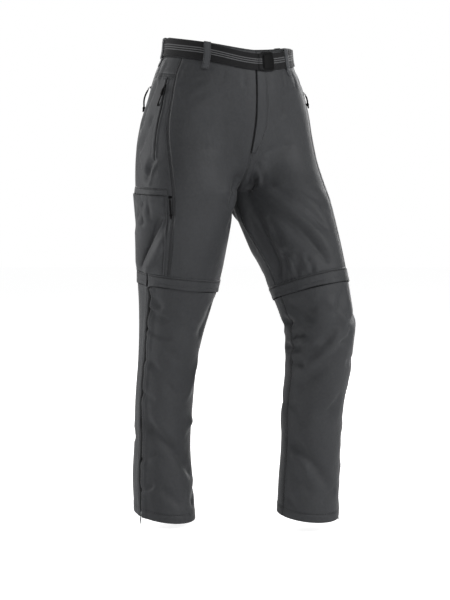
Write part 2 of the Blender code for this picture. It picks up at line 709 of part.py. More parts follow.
def add_turned_pull(name, hinge, profile, finish):
    """A moulded cord pull, turned about the way it hangs. Its origin is on its hinge."""
    start, lie, outward, length = hinge
    across = lie.cross(outward)
    sides = 8
    along = np.where(profile["along"] < 0.5, profile["drop"], profile["drop"] + length)
    points = []
    for t, r in zip(along, profile["radius"]):
        for k in range(sides):
            a = 2 * math.pi * k / sides
            points.append(lie * t + across * (r * math.cos(a)) + outward * (r * math.sin(a)))
    faces = []
    for j in range(len(along) - 1):
        for k in range(sides):
            a = j * sides + k
            b = j * sides + (k + 1) % sides
            faces += [(a, b, b + sides), (a, b + sides, a + sides)]
    faces.append(tuple(range(sides)))
    faces.append(tuple(range(len(points) - sides, len(points))))
    made = add_object(name, points, faces, finish)
    made.location = start


CORD_PULL = table(
    "along drop radius",
    [
        (0, -0.0013, 0.0008),
        (0, -0.0006, 0.0014),
        (0, 0.0006, 0.0015),
        (0, 0.0020, 0.0010),
        (1, -0.0120, 0.0010),
        (1, -0.0105, 0.0030),
        (1, -0.0075, 0.0030),
        (1, -0.0055, 0.0018),
        (1, 0.0000, 0.0014),
    ],
)
GRIP_PULL = table(
    "along drop radius",
    [
        (0, -0.0013, 0.0008),
        (0, -0.0006, 0.0014),
        (0, 0.0006, 0.0015),
        (0, 0.0030, 0.0012),
        (0, 0.0060, 0.0022),
        (0, 0.0160, 0.0024),
        (0, 0.0190, 0.0012),
        (1, -0.0060, 0.0011),
        (1, -0.0040, 0.0017),
        (1, 0.0000, 0.0014),
    ],
)


def add_metal_pull(name, side):
    """The flat metal tab that hangs under the hem from the lower leg's zip."""
    point, across, down, outward = frame_at(side, SIDE_ZIP, HEM[side] - SIDE_SLIDER_UP, OFF_CLOTH + SEAM)
    start = point + down * HINGE_LOW + outward * (SLIDER_HEIGHT + SEAM + TAB_THICK)
    lie = Vector((0, 0, -1))
    outward = (outward - lie * outward.dot(lie)).normalized()
    across = lie.cross(outward)
    bm = bmesh.new()
    bmesh.ops.create_cube(bm, size=1)
    for v in bm.verts:
        wide = 0.0040 if v.co.y > 0 else 0.0030
        v.co = Vector((v.co.x * wide, (v.co.y + 0.5) * TAB_LENGTH - 0.0005, v.co.z * TAB_THICK))
    bmesh.ops.bevel(bm, geom=bm.edges[:], offset=0.0003, segments=1, affect="EDGES")
    turn = Matrix((across, lie, outward)).transposed().to_4x4()
    bmesh.ops.transform(bm, matrix=turn, verts=bm.verts)
    mesh = bpy.data.meshes.new(name)
    bmesh.ops.recalc_face_normals(bm, faces=bm.faces)
    bm.to_mesh(mesh)
    bm.free()
    mesh.materials.append(metal())
    made = bpy.data.objects.new(name, mesh)
    made.location = start
    bpy.context.collection.objects.link(made)
    return start, lie, outward


BELT_LOOPS = {
    "belt_loop_front_right": -0.24,
    "belt_loop_front_left": 0.20,
    "belt_loop_side_right": -0.575,
    "belt_loop_side_left": 0.575,
    "belt_loop_back": 0.9999,
}
TAPE_TOP = OFF_CLOTH + TAPE_THICK + SEAM  # a slider stands on its zip's tape
CLOTH_TOP = OFF_CLOTH + SEAM  # or on the cloth
BACK_SLIDER = BACK_ZIP_START + 0.012
CARGO_SLIDER_DROP = CARGO_TOP + 0.002
# For each hanging pull: its side, its slider's around and drop, what the slider stands on,
# and where the pull's end lies, around and drop
HANGING_PULLS = {
    "hip_pull_right": ("right", None, HIP_SLIDER, TAPE_TOP, 0.435, 0.146, GRIP_PULL),
    "hip_pull_left": ("left", None, HIP_SLIDER, TAPE_TOP, 0.400, 0.140, CORD_PULL),
    "back_pull_right": ("right", BACK_SLIDER, BACK_ZIP_DROP, TAPE_TOP, 0.625, 0.156, CORD_PULL),
    "cargo_pull": ("right", CARGO_SLIDER, CARGO_SLIDER_DROP, CLOTH_TOP, 0.374, 0.386, CORD_PULL),
}
HINGES = {}


def build():
    for old in list(bpy.data.objects):
        bpy.data.objects.remove(old)
    for side in ("right", "left"):
        make_waistband(side)
        make_upper_panels(side)
        make_zip_off(side)
        make_lower_leg(side)
        zip_strip("hip_zip_" + side, side, hip_zip_place, HIP_ZIP_START, HIP_ZIP_END)
        add_slider("hip_slider_" + side, side, hip_zip_place(HIP_SLIDER), HIP_SLIDER, TAPE_TOP, plastic())
        add_slider("side_slider_" + side, side, SIDE_ZIP, HEM[side] - SIDE_SLIDER_UP, CLOTH_TOP, metal())
        HINGES["side_pull_" + side] = add_metal_pull("side_pull_" + side, side)
    add_belt()
    add_buckle()
    for name, place in BELT_LOOPS.items():
        add_belt_loop(name, place)
    add_fly_placket()
    add_back_pocket_zip()
    add_cargo_pocket()
    add_slider("back_slider_right", "right", BACK_SLIDER, BACK_ZIP_DROP, TAPE_TOP, plastic())
    add_slider("cargo_slider", "right", CARGO_SLIDER, CARGO_SLIDER_DROP, CLOTH_TOP, plastic())
    for name, (side, around, drop, out, end_around, end_drop, profile) in HANGING_PULLS.items():
        if around is None:
            around = hip_zip_place(drop)
        hinge = hinge_of(side, around, drop, out, end_around, end_drop, PULL_STAND)
        add_turned_pull(name, hinge, profile, plastic())
        HINGES[name] = hinge[:3]


build()
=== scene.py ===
import json
import math

import bmesh
import bpy
import numpy as np
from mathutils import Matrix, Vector


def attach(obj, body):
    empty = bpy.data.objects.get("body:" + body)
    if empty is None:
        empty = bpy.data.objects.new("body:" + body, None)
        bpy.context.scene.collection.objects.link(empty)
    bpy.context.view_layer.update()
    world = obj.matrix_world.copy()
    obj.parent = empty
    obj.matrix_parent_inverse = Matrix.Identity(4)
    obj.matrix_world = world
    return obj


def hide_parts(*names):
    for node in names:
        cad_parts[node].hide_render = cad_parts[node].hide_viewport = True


# Convertible zip-off trousers with a webbing belt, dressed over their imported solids.
# Metres. +Z is up, the wearer faces -Y and the wearer's right is -X.
# The cloth of each half is one sheet. "around" is 0 at the centre front (the inseam, below the
# crotch), about 0.5 at the outer side and 1 at the centre back. "drop" is the distance below the
# waist, measured down the body. "out" is a distance outwards from the sheet.

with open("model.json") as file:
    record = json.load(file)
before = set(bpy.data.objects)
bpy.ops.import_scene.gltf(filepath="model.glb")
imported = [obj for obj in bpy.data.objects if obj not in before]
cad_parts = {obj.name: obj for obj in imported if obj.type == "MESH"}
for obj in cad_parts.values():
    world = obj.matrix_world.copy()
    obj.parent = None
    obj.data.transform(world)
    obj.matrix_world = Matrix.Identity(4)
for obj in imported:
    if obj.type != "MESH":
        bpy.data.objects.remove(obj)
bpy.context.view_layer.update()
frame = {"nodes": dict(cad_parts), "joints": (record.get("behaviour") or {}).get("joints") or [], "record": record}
sides = ("right", "left")
sign = {"right": -1.0, "left": 1.0}

legGap = 0.0003  # space between the upper panels and the legs that zip off
crotch = 0.325
crotchStart = 0.17
zipOff = {"right": 0.540, "left": 0.547}
hem = {"right": 1.052, "left": 1.044}
waistSlope = {"across": -0.045, "front": 0.12, "back": -0.03, "dip": 0.008}  # how the top edge tilts


def table(columns, rows):  # a short table with named columns, one row for each section
    return dict(zip(columns.split(), np.array(rows, float).T))


# Sections of the seat and hips, each the half ellipse from centre front to centre back
torso = table(
    "drop halfWidth frontDepth backDepth centreY",
    [
        (0.000, 0.147, 0.119, 0.116, 0.000),
        (0.040, 0.153, 0.123, 0.122, 0.000),
        (0.070, 0.168, 0.126, 0.127, 0.000),
        (0.100, 0.179, 0.127, 0.131, 0.000),
        (0.130, 0.187, 0.127, 0.135, 0.000),
        (0.165, 0.196, 0.128, 0.138, 0.003),
        (0.200, 0.203, 0.128, 0.138, 0.008),
        (0.260, 0.211, 0.126, 0.133, 0.010),
        (0.330, 0.216, 0.118, 0.126, 0.008),
        (0.400, 0.212, 0.112, 0.118, 0.004),
    ],
)

# Sections of each leg, an ellipse across the leg.
# slopeX and slopeY say how the section leans: the rise of its plane along X and along Y.
leg = {
    "right": table(
        "drop centreX centreY halfWidth halfDepth slopeX slopeY",
        [
            (0.100, -0.100, 0.016, 0.0995, 0.124, 0.00, 0.00),
            (0.200, -0.104, 0.012, 0.1037, 0.122, 0.00, 0.00),
            (0.260, -0.106, 0.008, 0.1058, 0.118, 0.00, 0.02),
            (0.325, -0.1075, 0.004, 0.1070, 0.112, -0.02, 0.04),
            (0.380, -0.1072, 0.009, 0.1040, 0.106, -0.04, 0.06),
            (0.437, -0.1060, 0.019, 0.0988, 0.100, -0.06, 0.08),
            (0.531, -0.1080, 0.036, 0.0890, 0.090, -0.088, 0.080),
            (0.585, -0.1110, 0.046, 0.0790, 0.081, -0.080, 0.080),
            (0.638, -0.1130, 0.058, 0.0710, 0.074, -0.060, 0.090),
            (0.700, -0.1150, 0.070, 0.0655, 0.069, -0.040, 0.090),
            (0.794, -0.1180, 0.082, 0.0645, 0.066, -0.030, 0.080),
            (0.905, -0.1200, 0.088, 0.0630, 0.066, -0.030, 0.100),
            (0.972, -0.1200, 0.086, 0.0670, 0.071, -0.035, 0.150),
            (1.045, -0.1190, 0.080, 0.0680, 0.072, -0.043, 0.200),
        ],
    ),
    "left": table(
        "drop centreX centreY halfWidth halfDepth slopeX slopeY",
        [
            (0.100, 0.100, 0.016, 0.0995, 0.124, 0.00, 0.00),
            (0.200, 0.104, 0.008, 0.1037, 0.122, 0.00, -0.04),
            (0.260, 0.106, -0.006, 0.1058, 0.118, 0.02, -0.08),
            (0.325, 0.1075, -0.032, 0.1070, 0.112, 0.06, -0.14),
            (0.380, 0.1100, -0.062, 0.1045, 0.106, 0.10, -0.20),
            (0.437, 0.1168, -0.093, 0.0945, 0.099, 0.13, -0.24),
            (0.477, 0.1222, -0.113, 0.0872, 0.095, 0.14, -0.25),
            (0.531, 0.1297, -0.133, 0.0820, 0.087, 0.149, -0.248),
            (0.585, 0.1350, -0.152, 0.0780, 0.081, 0.120, -0.180),
            (0.627, 0.1395, -0.161, 0.0765, 0.079, 0.080, -0.100),
            (0.678, 0.1395, -0.158, 0.0745, 0.078, 0.030, 0.000),
            (0.731, 0.1385, -0.153, 0.0705, 0.074, 0.000, 0.060),
            (0.794, 0.1370, -0.138, 0.0680, 0.071, -0.010, 0.080),
            (0.905, 0.1360, -0.130, 0.0650, 0.068, -0.010, 0.100),
            (0.972, 0.1350, -0.125, 0.0665, 0.069, -0.012, 0.140),
            (1.045, 0.1340, -0.122, 0.0675, 0.070, -0.012, 0.170),
        ],
    ),
}

# Folds. Each runs from one place on the sheet to another; width is half its breadth and
# rise is its height, below zero for a trough.
folds = {
    "right": table(
        "around drop aroundEnd dropEnd width rise",
        [
            (0.390, 0.375, 0.510, 0.510, 0.015, -0.0070),
            (0.370, 0.400, 0.480, 0.512, 0.011, 0.0030),
            (0.530, 0.350, 0.560, 0.420, 0.012, -0.0030),
            (0.450, 0.552, 0.390, 0.590, 0.010, -0.0035),
            (0.350, 0.672, 0.265, 0.700, 0.012, -0.0025),
            (0.100, 0.690, 0.210, 0.790, 0.012, 0.0035),
            (0.060, 0.680, 0.120, 0.740, 0.012, -0.0040),
            (0.440, 0.835, 0.240, 0.908, 0.014, -0.0050),
            (0.260, 0.900, 0.110, 0.957, 0.013, -0.0045),
            (0.400, 0.830, 0.200, 0.898, 0.012, 0.0025),
            (0.350, 0.978, 0.230, 1.014, 0.011, -0.0030),
            (0.720, 0.330, 0.920, 0.400, 0.016, -0.0050),
            (0.700, 0.370, 0.900, 0.440, 0.014, 0.0030),
            (0.850, 0.660, 0.620, 0.700, 0.014, -0.0045),
            (0.880, 0.700, 0.660, 0.745, 0.014, -0.0040),
            (0.900, 0.900, 0.650, 0.980, 0.015, -0.0050),
        ],
    ),
    "left": table(
        "around drop aroundEnd dropEnd width rise",
        [
            (0.035, 0.300, 0.250, 0.505, 0.014, -0.0055),
            (0.130, 0.320, 0.285, 0.440, 0.012, -0.0030),
            (0.090, 0.300, 0.270, 0.470, 0.012, 0.0025),
            (0.068, 0.345, 0.045, 0.500, 0.014, -0.0070),
            (0.015, 0.370, 0.022, 0.490, 0.010, 0.0035),
            (0.048, 0.555, 0.130, 0.612, 0.011, -0.0055),
            (0.095, 0.556, 0.150, 0.592, 0.009, -0.0030),
            (-0.040, 0.600, 0.035, 0.610, 0.010, -0.0050),
            (-0.045, 0.664, 0.085, 0.668, 0.009, -0.0045),
            (0.060, 0.648, 0.190, 0.665, 0.009, 0.0030),
            (0.255, 0.644, 0.045, 0.730, 0.011, 0.0045),
            (0.250, 0.618, 0.120, 0.690, 0.011, -0.0035),
            (0.270, 0.672, 0.070, 0.752, 0.012, -0.0035),
            (0.035, 0.872, 0.160, 0.912, 0.013, -0.0045),
            (0.150, 0.908, 0.280, 0.970, 0.014, -0.0050),
            (0.065, 0.945, 0.175, 0.980, 0.011, -0.0025),
            (0.720, 0.330, 0.920, 0.400, 0.016, -0.0050),
            (0.900, 0.640, 0.660, 0.665, 0.014, -0.0060),
            (0.920, 0.690, 0.680, 0.680, 0.013, -0.0050),
            (0.880, 0.860, 0.660, 0.950, 0.015, -0.0050),
        ],
    ),
}
foldRound = {"torso": 0.60, "leg": 0.45}  # mean length around the sheet, for fold widths


def column(rows, name, at):  # reads a table's column at any drop, on a smooth curve through its rows
    x = rows["drop"]
    y = rows[name]
    slope = np.gradient(y, x)
    i = np.clip(np.searchsorted(x, at) - 1, 0, len(x) - 2)
    span = x[i + 1] - x[i]
    t = np.clip((at - x[i]) / span, 0.0, 1.0)
    a = (1 + 2 * t) * (1 - t) ** 2
    b = t * (1 - t) ** 2
    c = t * t * (3 - 2 * t)
    d = t * t * (t - 1)
    return a * y[i] + b * span * slope[i] + c * y[i + 1] + d * span * slope[i + 1]


def ease(t):  # 0 before 0, 1 after 1 and a smooth step between
    t = np.clip(t, 0.0, 1.0)
    return t * t * (3 - 2 * t)


def hump(x, middle, half):  # a smooth bump of height one
    return np.exp(-(((x - middle) / half) ** 2))


def unit(vectors):
    return vectors / np.linalg.norm(vectors, axis=-1, keepdims=True)


def torsoSection(side, around, drop):  # a point of the seat and hips as if there were no legs
    front = np.cos(math.pi * around)
    depth = np.where(front > 0, column(torso, "frontDepth", drop), column(torso, "backDepth", drop))
    x = sign[side] * column(torso, "halfWidth", drop) * np.sin(math.pi * around)
    y = column(torso, "centreY", drop) - depth * front
    rise = waistSlope["across"] * x + waistSlope["front"] * np.minimum(y, 0)
    rise = rise + waistSlope["back"] * np.maximum(y, 0) - waistSlope["dip"] * np.maximum(front, 0) ** 6
    return np.stack([x, y, rise * (1 - ease(drop / 0.22)) - drop], -1)


def legSection(side, around, drop):  # a point of one leg as if it went on up past the crotch
    rows = leg[side]
    across = -sign[side] * column(rows, "halfWidth", drop) * np.cos(2 * math.pi * around)
    along = -column(rows, "halfDepth", drop) * np.sin(2 * math.pi * around)
    x = column(rows, "centreX", drop) + across
    y = column(rows, "centreY", drop) + along
    rise = column(rows, "slopeX", drop) * across + column(rows, "slopeY", drop) * along
    return np.stack([x, y, rise - drop], -1)


def joinedSections(side, around, drop):  # the torso turns into the leg, tight at the seat seam, gentle over the thigh
    t = np.clip((drop - crotchStart) / (crotch - crotchStart), 0.0, 1.0)
    atSeam = 1 - np.sqrt(1 - t * t)
    atThigh = ease((drop - 0.10) / 0.27)
    away = ease(np.minimum(around, 1 - around) / 0.22)
    share = ((1 - away) * atSeam + away * atThigh)[..., None]
    return (1 - share) * torsoSection(side, around, drop) + share * legSection(side, around, drop)


def smoothSheet(side, around, drop):  # the sheet before its folds, with both halves brought together at the centre
    points = joinedSections(side, around, drop)
    held = np.minimum(drop, crotch)
    fade = np.exp(-np.maximum(drop - crotch, 0) / 0.05)
    for edge, near in ((0.0, around), (1.0, 1 - around)):
        right = joinedSections("right", np.full_like(around, edge), held)
        left = joinedSections("left", np.full_like(around, edge), held)
        own = right if side == "right" else left
        shared = (right + left) / 2
        shared[..., 0] = sign[side] * seamGap
        points = points + (shared - own) * (ease(1 - near / 0.25) * fade)[..., None]
    return points


def foldHeight(side, around, drop):  # how far the folds move the sheet; below the crotch they run on past the inseam
    rows = folds[side]
    height = np.zeros_like(around)
    longWay = np.where(drop < crotch, foldRound["torso"], foldRound["leg"])
    for k in range(len(rows["drop"])):
        bx = (rows["aroundEnd"][k] - rows["around"][k]) * longWay
        by = rows["dropEnd"][k] - rows["drop"][k]
        for turn in (-1, 0, 1):
            ax = (around + turn - rows["around"][k]) * longWay
            ay = drop - rows["drop"][k]
            t = (ax * bx + ay * by) / (bx * bx + by * by)
            off = np.hypot(ax - np.clip(t, 0, 1) * bx, ay - np.clip(t, 0, 1) * by)
            ends = ease((t + 0.15) / 0.4) * ease((1.15 - t) / 0.4)
            height += rows["rise"][k] * hump(off, 0, rows["width"][k]) * ends
    atSeam = ease(np.minimum(around, 1 - around) / 0.06)
    atSeam = np.maximum(atSeam, ease((drop - crotch - 0.01) / 0.06))
    atZip = ease(np.abs(drop - zipOff[side]) / 0.045)
    return height * atSeam * atZip * ease((drop - 0.06) / 0.04)


def normalsOf(pointsAt, side, around, drop):  # unit normals that point out of the garment
    h = 0.002
    lo = np.clip(around - h, 0, 1)
    hi = np.clip(around + h, 0, 1)
    across = pointsAt(side, hi, drop) - pointsAt(side, lo, drop)
    down = pointsAt(side, around, drop + h) - pointsAt(side, around, drop - h)
    n = np.cross(across, down) * -sign[side]
    return n / np.maximum(np.linalg.norm(n, axis=-1, keepdims=True), 1e-12)


# Finer creases of the cloth. bow moves the middle of a crease sideways, crisp sharpens one side.
creases = {
    "right": table(
        "around drop aroundEnd dropEnd width rise bow crisp",
        [
            (0.455, 0.588, 0.360, 0.606, 0.0065, -0.0018, 0.003, 0.4),
            (0.458, 0.632, 0.335, 0.650, 0.0070, -0.0016, 0.004, -0.4),
            (0.468, 0.700, 0.370, 0.722, 0.0065, -0.0017, -0.003, 0.4),
            (0.472, 0.772, 0.390, 0.786, 0.0060, -0.0014, 0.002, 0.3),
            (0.462, 0.925, 0.365, 0.905, 0.0070, -0.0016, 0.004, 0.4),
            (0.455, 0.992, 0.380, 0.975, 0.0060, -0.0013, 0.002, -0.3),
            (0.427, 0.262, 0.463, 0.306, 0.0070, -0.0026, 0.004, 0.5),
            (0.418, 0.266, 0.455, 0.314, 0.0050, 0.0012, 0.004, 0.3),
            (0.500, 0.100, 0.545, 0.190, 0.0075, -0.0013, 0.005, 0.4),
            (0.455, 0.170, 0.530, 0.245, 0.0080, -0.0016, -0.006, 0.4),
            (0.540, 0.240, 0.470, 0.300, 0.0075, -0.0013, 0.006, 0.3),
            (0.025, 0.318, 0.060, 0.440, 0.0090, -0.0010, 0.004, 0.3),
            (0.476, 0.352, 0.482, 0.405, 0.0045, -0.0016, 0.001, 0.0),
            (0.497, 0.350, 0.507, 0.395, 0.0045, -0.0014, -0.001, 0.0),
            (0.452, 0.356, 0.446, 0.392, 0.0045, -0.0012, 0.001, 0.0),
            (0.400, 0.440, 0.470, 0.508, 0.0060, 0.0016, -0.004, 0.5),
            (0.060, 0.050, 0.055, 0.088, 0.0060, -0.0005, 0.001, 0.0),
            (0.150, 0.050, 0.146, 0.078, 0.0055, -0.0004, 0.000, 0.0),
            (0.305, 0.050, 0.300, 0.092, 0.0070, -0.0006, 0.002, 0.3),
            (0.345, 0.052, 0.350, 0.082, 0.0050, -0.0005, 0.000, 0.0),
            (0.470, 0.052, 0.474, 0.100, 0.0070, -0.0006, 0.001, 0.0),
            (0.530, 0.052, 0.522, 0.085, 0.0060, -0.0005, 0.001, 0.0),
            (0.700, 0.052, 0.690, 0.092, 0.0080, -0.0006, 0.001, 0.0),
            (0.860, 0.052, 0.872, 0.095, 0.0080, -0.0006, 0.002, 0.0),
            (0.335, 0.098, 0.225, 0.082, 0.0070, -0.0007, 0.003, 0.3),
            (0.300, 0.128, 0.180, 0.100, 0.0080, -0.0006, 0.004, 0.3),
            (0.240, 0.240, 0.120, 0.205, 0.0090, -0.0005, 0.004, 0.3),
            (0.280, 0.400, 0.180, 0.470, 0.0090, -0.0006, 0.005, 0.3),
            (0.035, 0.296, 0.150, 0.352, 0.0100, -0.0032, 0.005, 0.4),
            (0.050, 0.340, 0.130, 0.400, 0.0090, -0.0020, 0.004, -0.3),
            (0.090, 0.560, 0.160, 0.640, 0.0100, -0.0022, 0.005, 0.3),
            (0.300, 0.598, 0.200, 0.630, 0.0100, 0.0016, -0.006, 0.3),
            (0.330, 0.745, 0.230, 0.775, 0.0110, -0.0016, 0.006, 0.4),
            (0.090, 0.835, 0.200, 0.862, 0.0110, 0.0018, 0.004, 0.3),
            (0.060, 0.985, 0.150, 1.015, 0.0100, -0.0018, 0.004, 0.3),
            (0.860, 0.455, 0.700, 0.480, 0.0110, -0.0022, 0.006, 0.3),
            (0.940, 0.345, 0.860, 0.440, 0.0100, -0.0030, 0.006, 0.4),
            (0.960, 0.300, 0.820, 0.345, 0.0100, -0.0026, 0.006, 0.3),
            (0.975, 0.300, 0.840, 0.222, 0.0085, -0.0014, 0.006, 0.4),
            (0.955, 0.322, 0.790, 0.270, 0.0090, -0.0016, -0.006, 0.4),
            (0.900, 0.385, 0.740, 0.352, 0.0085, -0.0013, 0.006, 0.3),
            (0.720, 0.180, 0.800, 0.250, 0.0095, -0.0009, 0.006, 0.3),
            (0.680, 0.110, 0.780, 0.135, 0.0085, -0.0008, 0.004, 0.3),
            (0.930, 0.500, 0.760, 0.528, 0.0080, -0.0014, 0.005, 0.4),
            (0.660, 0.560, 0.760, 0.590, 0.0090, -0.0018, 0.004, 0.3),
            (0.640, 0.640, 0.780, 0.655, 0.0090, -0.0024, 0.005, 0.4),
            (0.900, 0.650, 0.790, 0.676, 0.0090, -0.0022, 0.004, -0.4),
            (0.600, 0.730, 0.720, 0.760, 0.0100, -0.0020, 0.005, 0.3),
            (0.930, 0.770, 0.800, 0.830, 0.0110, -0.0024, 0.006, 0.3),
            (0.560, 0.880, 0.700, 0.915, 0.0110, -0.0020, 0.006, 0.3),
            (0.620, 1.005, 0.740, 1.022, 0.0090, -0.0016, 0.004, 0.3),
        ],
    ),
    "left": table(
        "around drop aroundEnd dropEnd width rise bow crisp",
        [
            (0.030, 0.292, 0.245, 0.500, 0.0052, -0.0020, 0.010, 0.5),
            (0.130, 0.315, 0.290, 0.435, 0.0046, -0.0010, 0.006, 0.4),
            (0.062, 0.305, 0.036, 0.508, 0.0058, -0.0034, -0.004, 0.5),
            (0.012, 0.350, 0.014, 0.500, 0.0045, 0.0018, 0.002, 0.3),
            (0.100, 0.390, 0.066, 0.512, 0.0050, -0.0018, 0.004, 0.4),
            (0.045, 0.270, 0.125, 0.330, 0.0056, -0.0012, 0.003, 0.3),
            (0.040, 0.240, 0.046, 0.350, 0.0070, -0.0014, 0.000, 0.5),
            (0.560, 0.150, 0.470, 0.235, 0.0075, -0.0013, 0.006, 0.4),
            (0.520, 0.300, 0.420, 0.345, 0.0080, -0.0012, 0.006, 0.3),
            (0.105, 0.462, 0.118, 0.519, 0.0050, -0.0028, 0.002, 0.3),
            (0.135, 0.472, 0.150, 0.519, 0.0048, -0.0024, -0.002, 0.3),
            (0.080, 0.466, 0.088, 0.519, 0.0048, -0.0024, 0.001, 0.3),
            (0.170, 0.484, 0.178, 0.519, 0.0045, -0.0016, 0.001, 0.0),
            (0.060, 0.392, 0.100, 0.448, 0.0080, -0.0020, 0.003, 0.4),
            (0.060, 0.052, 0.070, 0.086, 0.0060, -0.0005, 0.001, 0.0),
            (0.150, 0.052, 0.148, 0.085, 0.0060, -0.0005, 0.001, 0.0),
            (0.240, 0.052, 0.246, 0.090, 0.0065, -0.0005, 0.001, 0.3),
            (0.330, 0.052, 0.322, 0.086, 0.0060, -0.0005, 0.001, 0.0),
            (0.450, 0.052, 0.445, 0.088, 0.0070, -0.0005, 0.001, 0.0),
            (0.690, 0.052, 0.700, 0.092, 0.0080, -0.0006, 0.001, 0.0),
            (0.860, 0.052, 0.852, 0.095, 0.0080, -0.0005, 0.002, 0.0),
            (0.120, 0.110, 0.240, 0.088, 0.0075, -0.0007, 0.003, 0.3),
            (0.100, 0.190, 0.230, 0.150, 0.0085, -0.0007, 0.004, 0.3),
            (0.070, 0.245, 0.210, 0.232, 0.0080, -0.0009, 0.004, 0.3),
            (0.200, 0.330, 0.320, 0.392, 0.0080, -0.0008, 0.005, 0.3),
            (0.300, 0.560, 0.240, 0.602, 0.0100, -0.0022, 0.004, 0.4),
            (0.200, 0.575, 0.290, 0.625, 0.0090, 0.0014, 0.004, 0.3),
            (0.330, 0.640, 0.260, 0.660, 0.0080, -0.0020, 0.004, 0.4),
            (0.440, 0.600, 0.330, 0.625, 0.0090, -0.0018, 0.004, 0.3),
            (0.440, 0.690, 0.320, 0.700, 0.0090, -0.0018, 0.005, 0.3),
            (0.020, 0.640, 0.090, 0.636, 0.0065, -0.0024, 0.002, 0.4),
            (0.010, 0.700, 0.100, 0.705, 0.0080, -0.0022, 0.004, 0.4),
            (0.300, 0.770, 0.190, 0.820, 0.0110, -0.0018, 0.006, 0.3),
            (0.020, 0.790, 0.120, 0.830, 0.0110, -0.0016, 0.005, 0.3),
            (0.060, 0.905, 0.150, 0.938, 0.0090, 0.0018, 0.004, 0.3),
            (0.240, 1.000, 0.330, 0.975, 0.0100, -0.0018, 0.004, 0.3),
            (0.020, 1.000, 0.100, 1.018, 0.0080, -0.0014, 0.003, 0.3),
            (0.860, 0.455, 0.700, 0.480, 0.0110, -0.0022, 0.006, 0.3),
            (0.940, 0.345, 0.860, 0.440, 0.0100, -0.0030, 0.006, 0.4),
            (0.960, 0.300, 0.820, 0.345, 0.0100, -0.0026, 0.006, 0.3),
            (0.975, 0.300, 0.820, 0.240, 0.0085, -0.0014, 0.006, 0.4),
            (0.955, 0.322, 0.770, 0.292, 0.0090, -0.0016, -0.006, 0.4),
            (0.915, 0.400, 0.750, 0.375, 0.0085, -0.0013, 0.006, 0.3),
            (0.700, 0.200, 0.790, 0.262, 0.0095, -0.0009, 0.006, 0.3),
            (0.790, 0.095, 0.700, 0.130, 0.0085, -0.0008, 0.004, 0.3),
            (0.900, 0.488, 0.740, 0.512, 0.0080, -0.0014, 0.005, 0.4),
            (0.640, 0.600, 0.770, 0.618, 0.0090, -0.0024, 0.005, 0.4),
            (0.930, 0.610, 0.800, 0.640, 0.0090, -0.0024, 0.004, -0.4),
            (0.620, 0.715, 0.760, 0.735, 0.0100, -0.0020, 0.005, 0.3),
            (0.930, 0.780, 0.800, 0.830, 0.0110, -0.0024, 0.006, 0.3),
            (0.560, 0.860, 0.700, 0.905, 0.0110, -0.0020, 0.006, 0.3),
            (0.600, 0.990, 0.740, 1.012, 0.0090, -0.0016, 0.004, 0.3),
        ],
    ),
}
seamGap = 0.000004  # half the space left between two panels that are sewn together
foldGain, creaseGain = 1.6, 2.6  # how many times deeper than their tables say the cloth shows them
creaseShape = {"lip": 0.30, "lipAt": 1.9, "lipWidth": 1.2, "waves": 7.3, "phase": 1.7, "fade": 1.5}
fineMesh = {
    "columns": 361, "rows": 501, "start": -0.008, "past": 0.008,  # the dense grid each half is read from
    "spacing": 0.0032, "fine": 0.0008,  # steps of the panels' own meshes
}


def creaseHeight(side, around, drop):
    rows = creases[side]
    height = np.zeros_like(around)
    longWay = np.where(drop < crotch, foldRound["torso"], foldRound["leg"])
    for k in range(len(rows["drop"])):
        bx = (rows["aroundEnd"][k] - rows["around"][k]) * longWay
        by = rows["dropEnd"][k] - rows["drop"][k]
        length = np.hypot(bx, by)
        for turn in (-1, 0, 1):
            if abs(turn + (rows["around"][k] + rows["aroundEnd"][k]) / 2 - 0.5) > 1.2:
                continue
            ax = (around + turn - rows["around"][k]) * longWay
            ay = drop - rows["drop"][k]
            t = (ax * bx + ay * by) / length**2
            off = (ax * by - ay * bx) / length - rows["bow"][k] * np.sin(math.pi * np.clip(t, 0, 1))
            width = rows["width"][k] * (1 + rows["crisp"][k] * np.tanh(off / rows["width"][k]))
            past = np.maximum(np.maximum(-t, t - 1), 0) * length
            lip = creaseShape["lip"] * hump(off, creaseShape["lipAt"] * width, creaseShape["lipWidth"] * width)
            profile = hump(off, 0, width) - lip
            swell = 0.75 + 0.25 * np.sin(creaseShape["waves"] * t + creaseShape["phase"] * k)
            ends = hump(past, 0, creaseShape["fade"] * rows["width"][k]) * ease((t + 0.2) / 0.35)
            height += rows["rise"][k] * profile * swell * ends * ease((1.2 - t) / 0.35)
    atSeam = np.maximum(ease(np.minimum(around, 1 - around) / 0.03), ease((drop - crotch - 0.01) / 0.06))
    atZip = ease((np.abs(drop - zipOff[side]) - 0.006) / 0.02)
    return height * atSeam * atZip * ease((drop - 0.048) / 0.012)


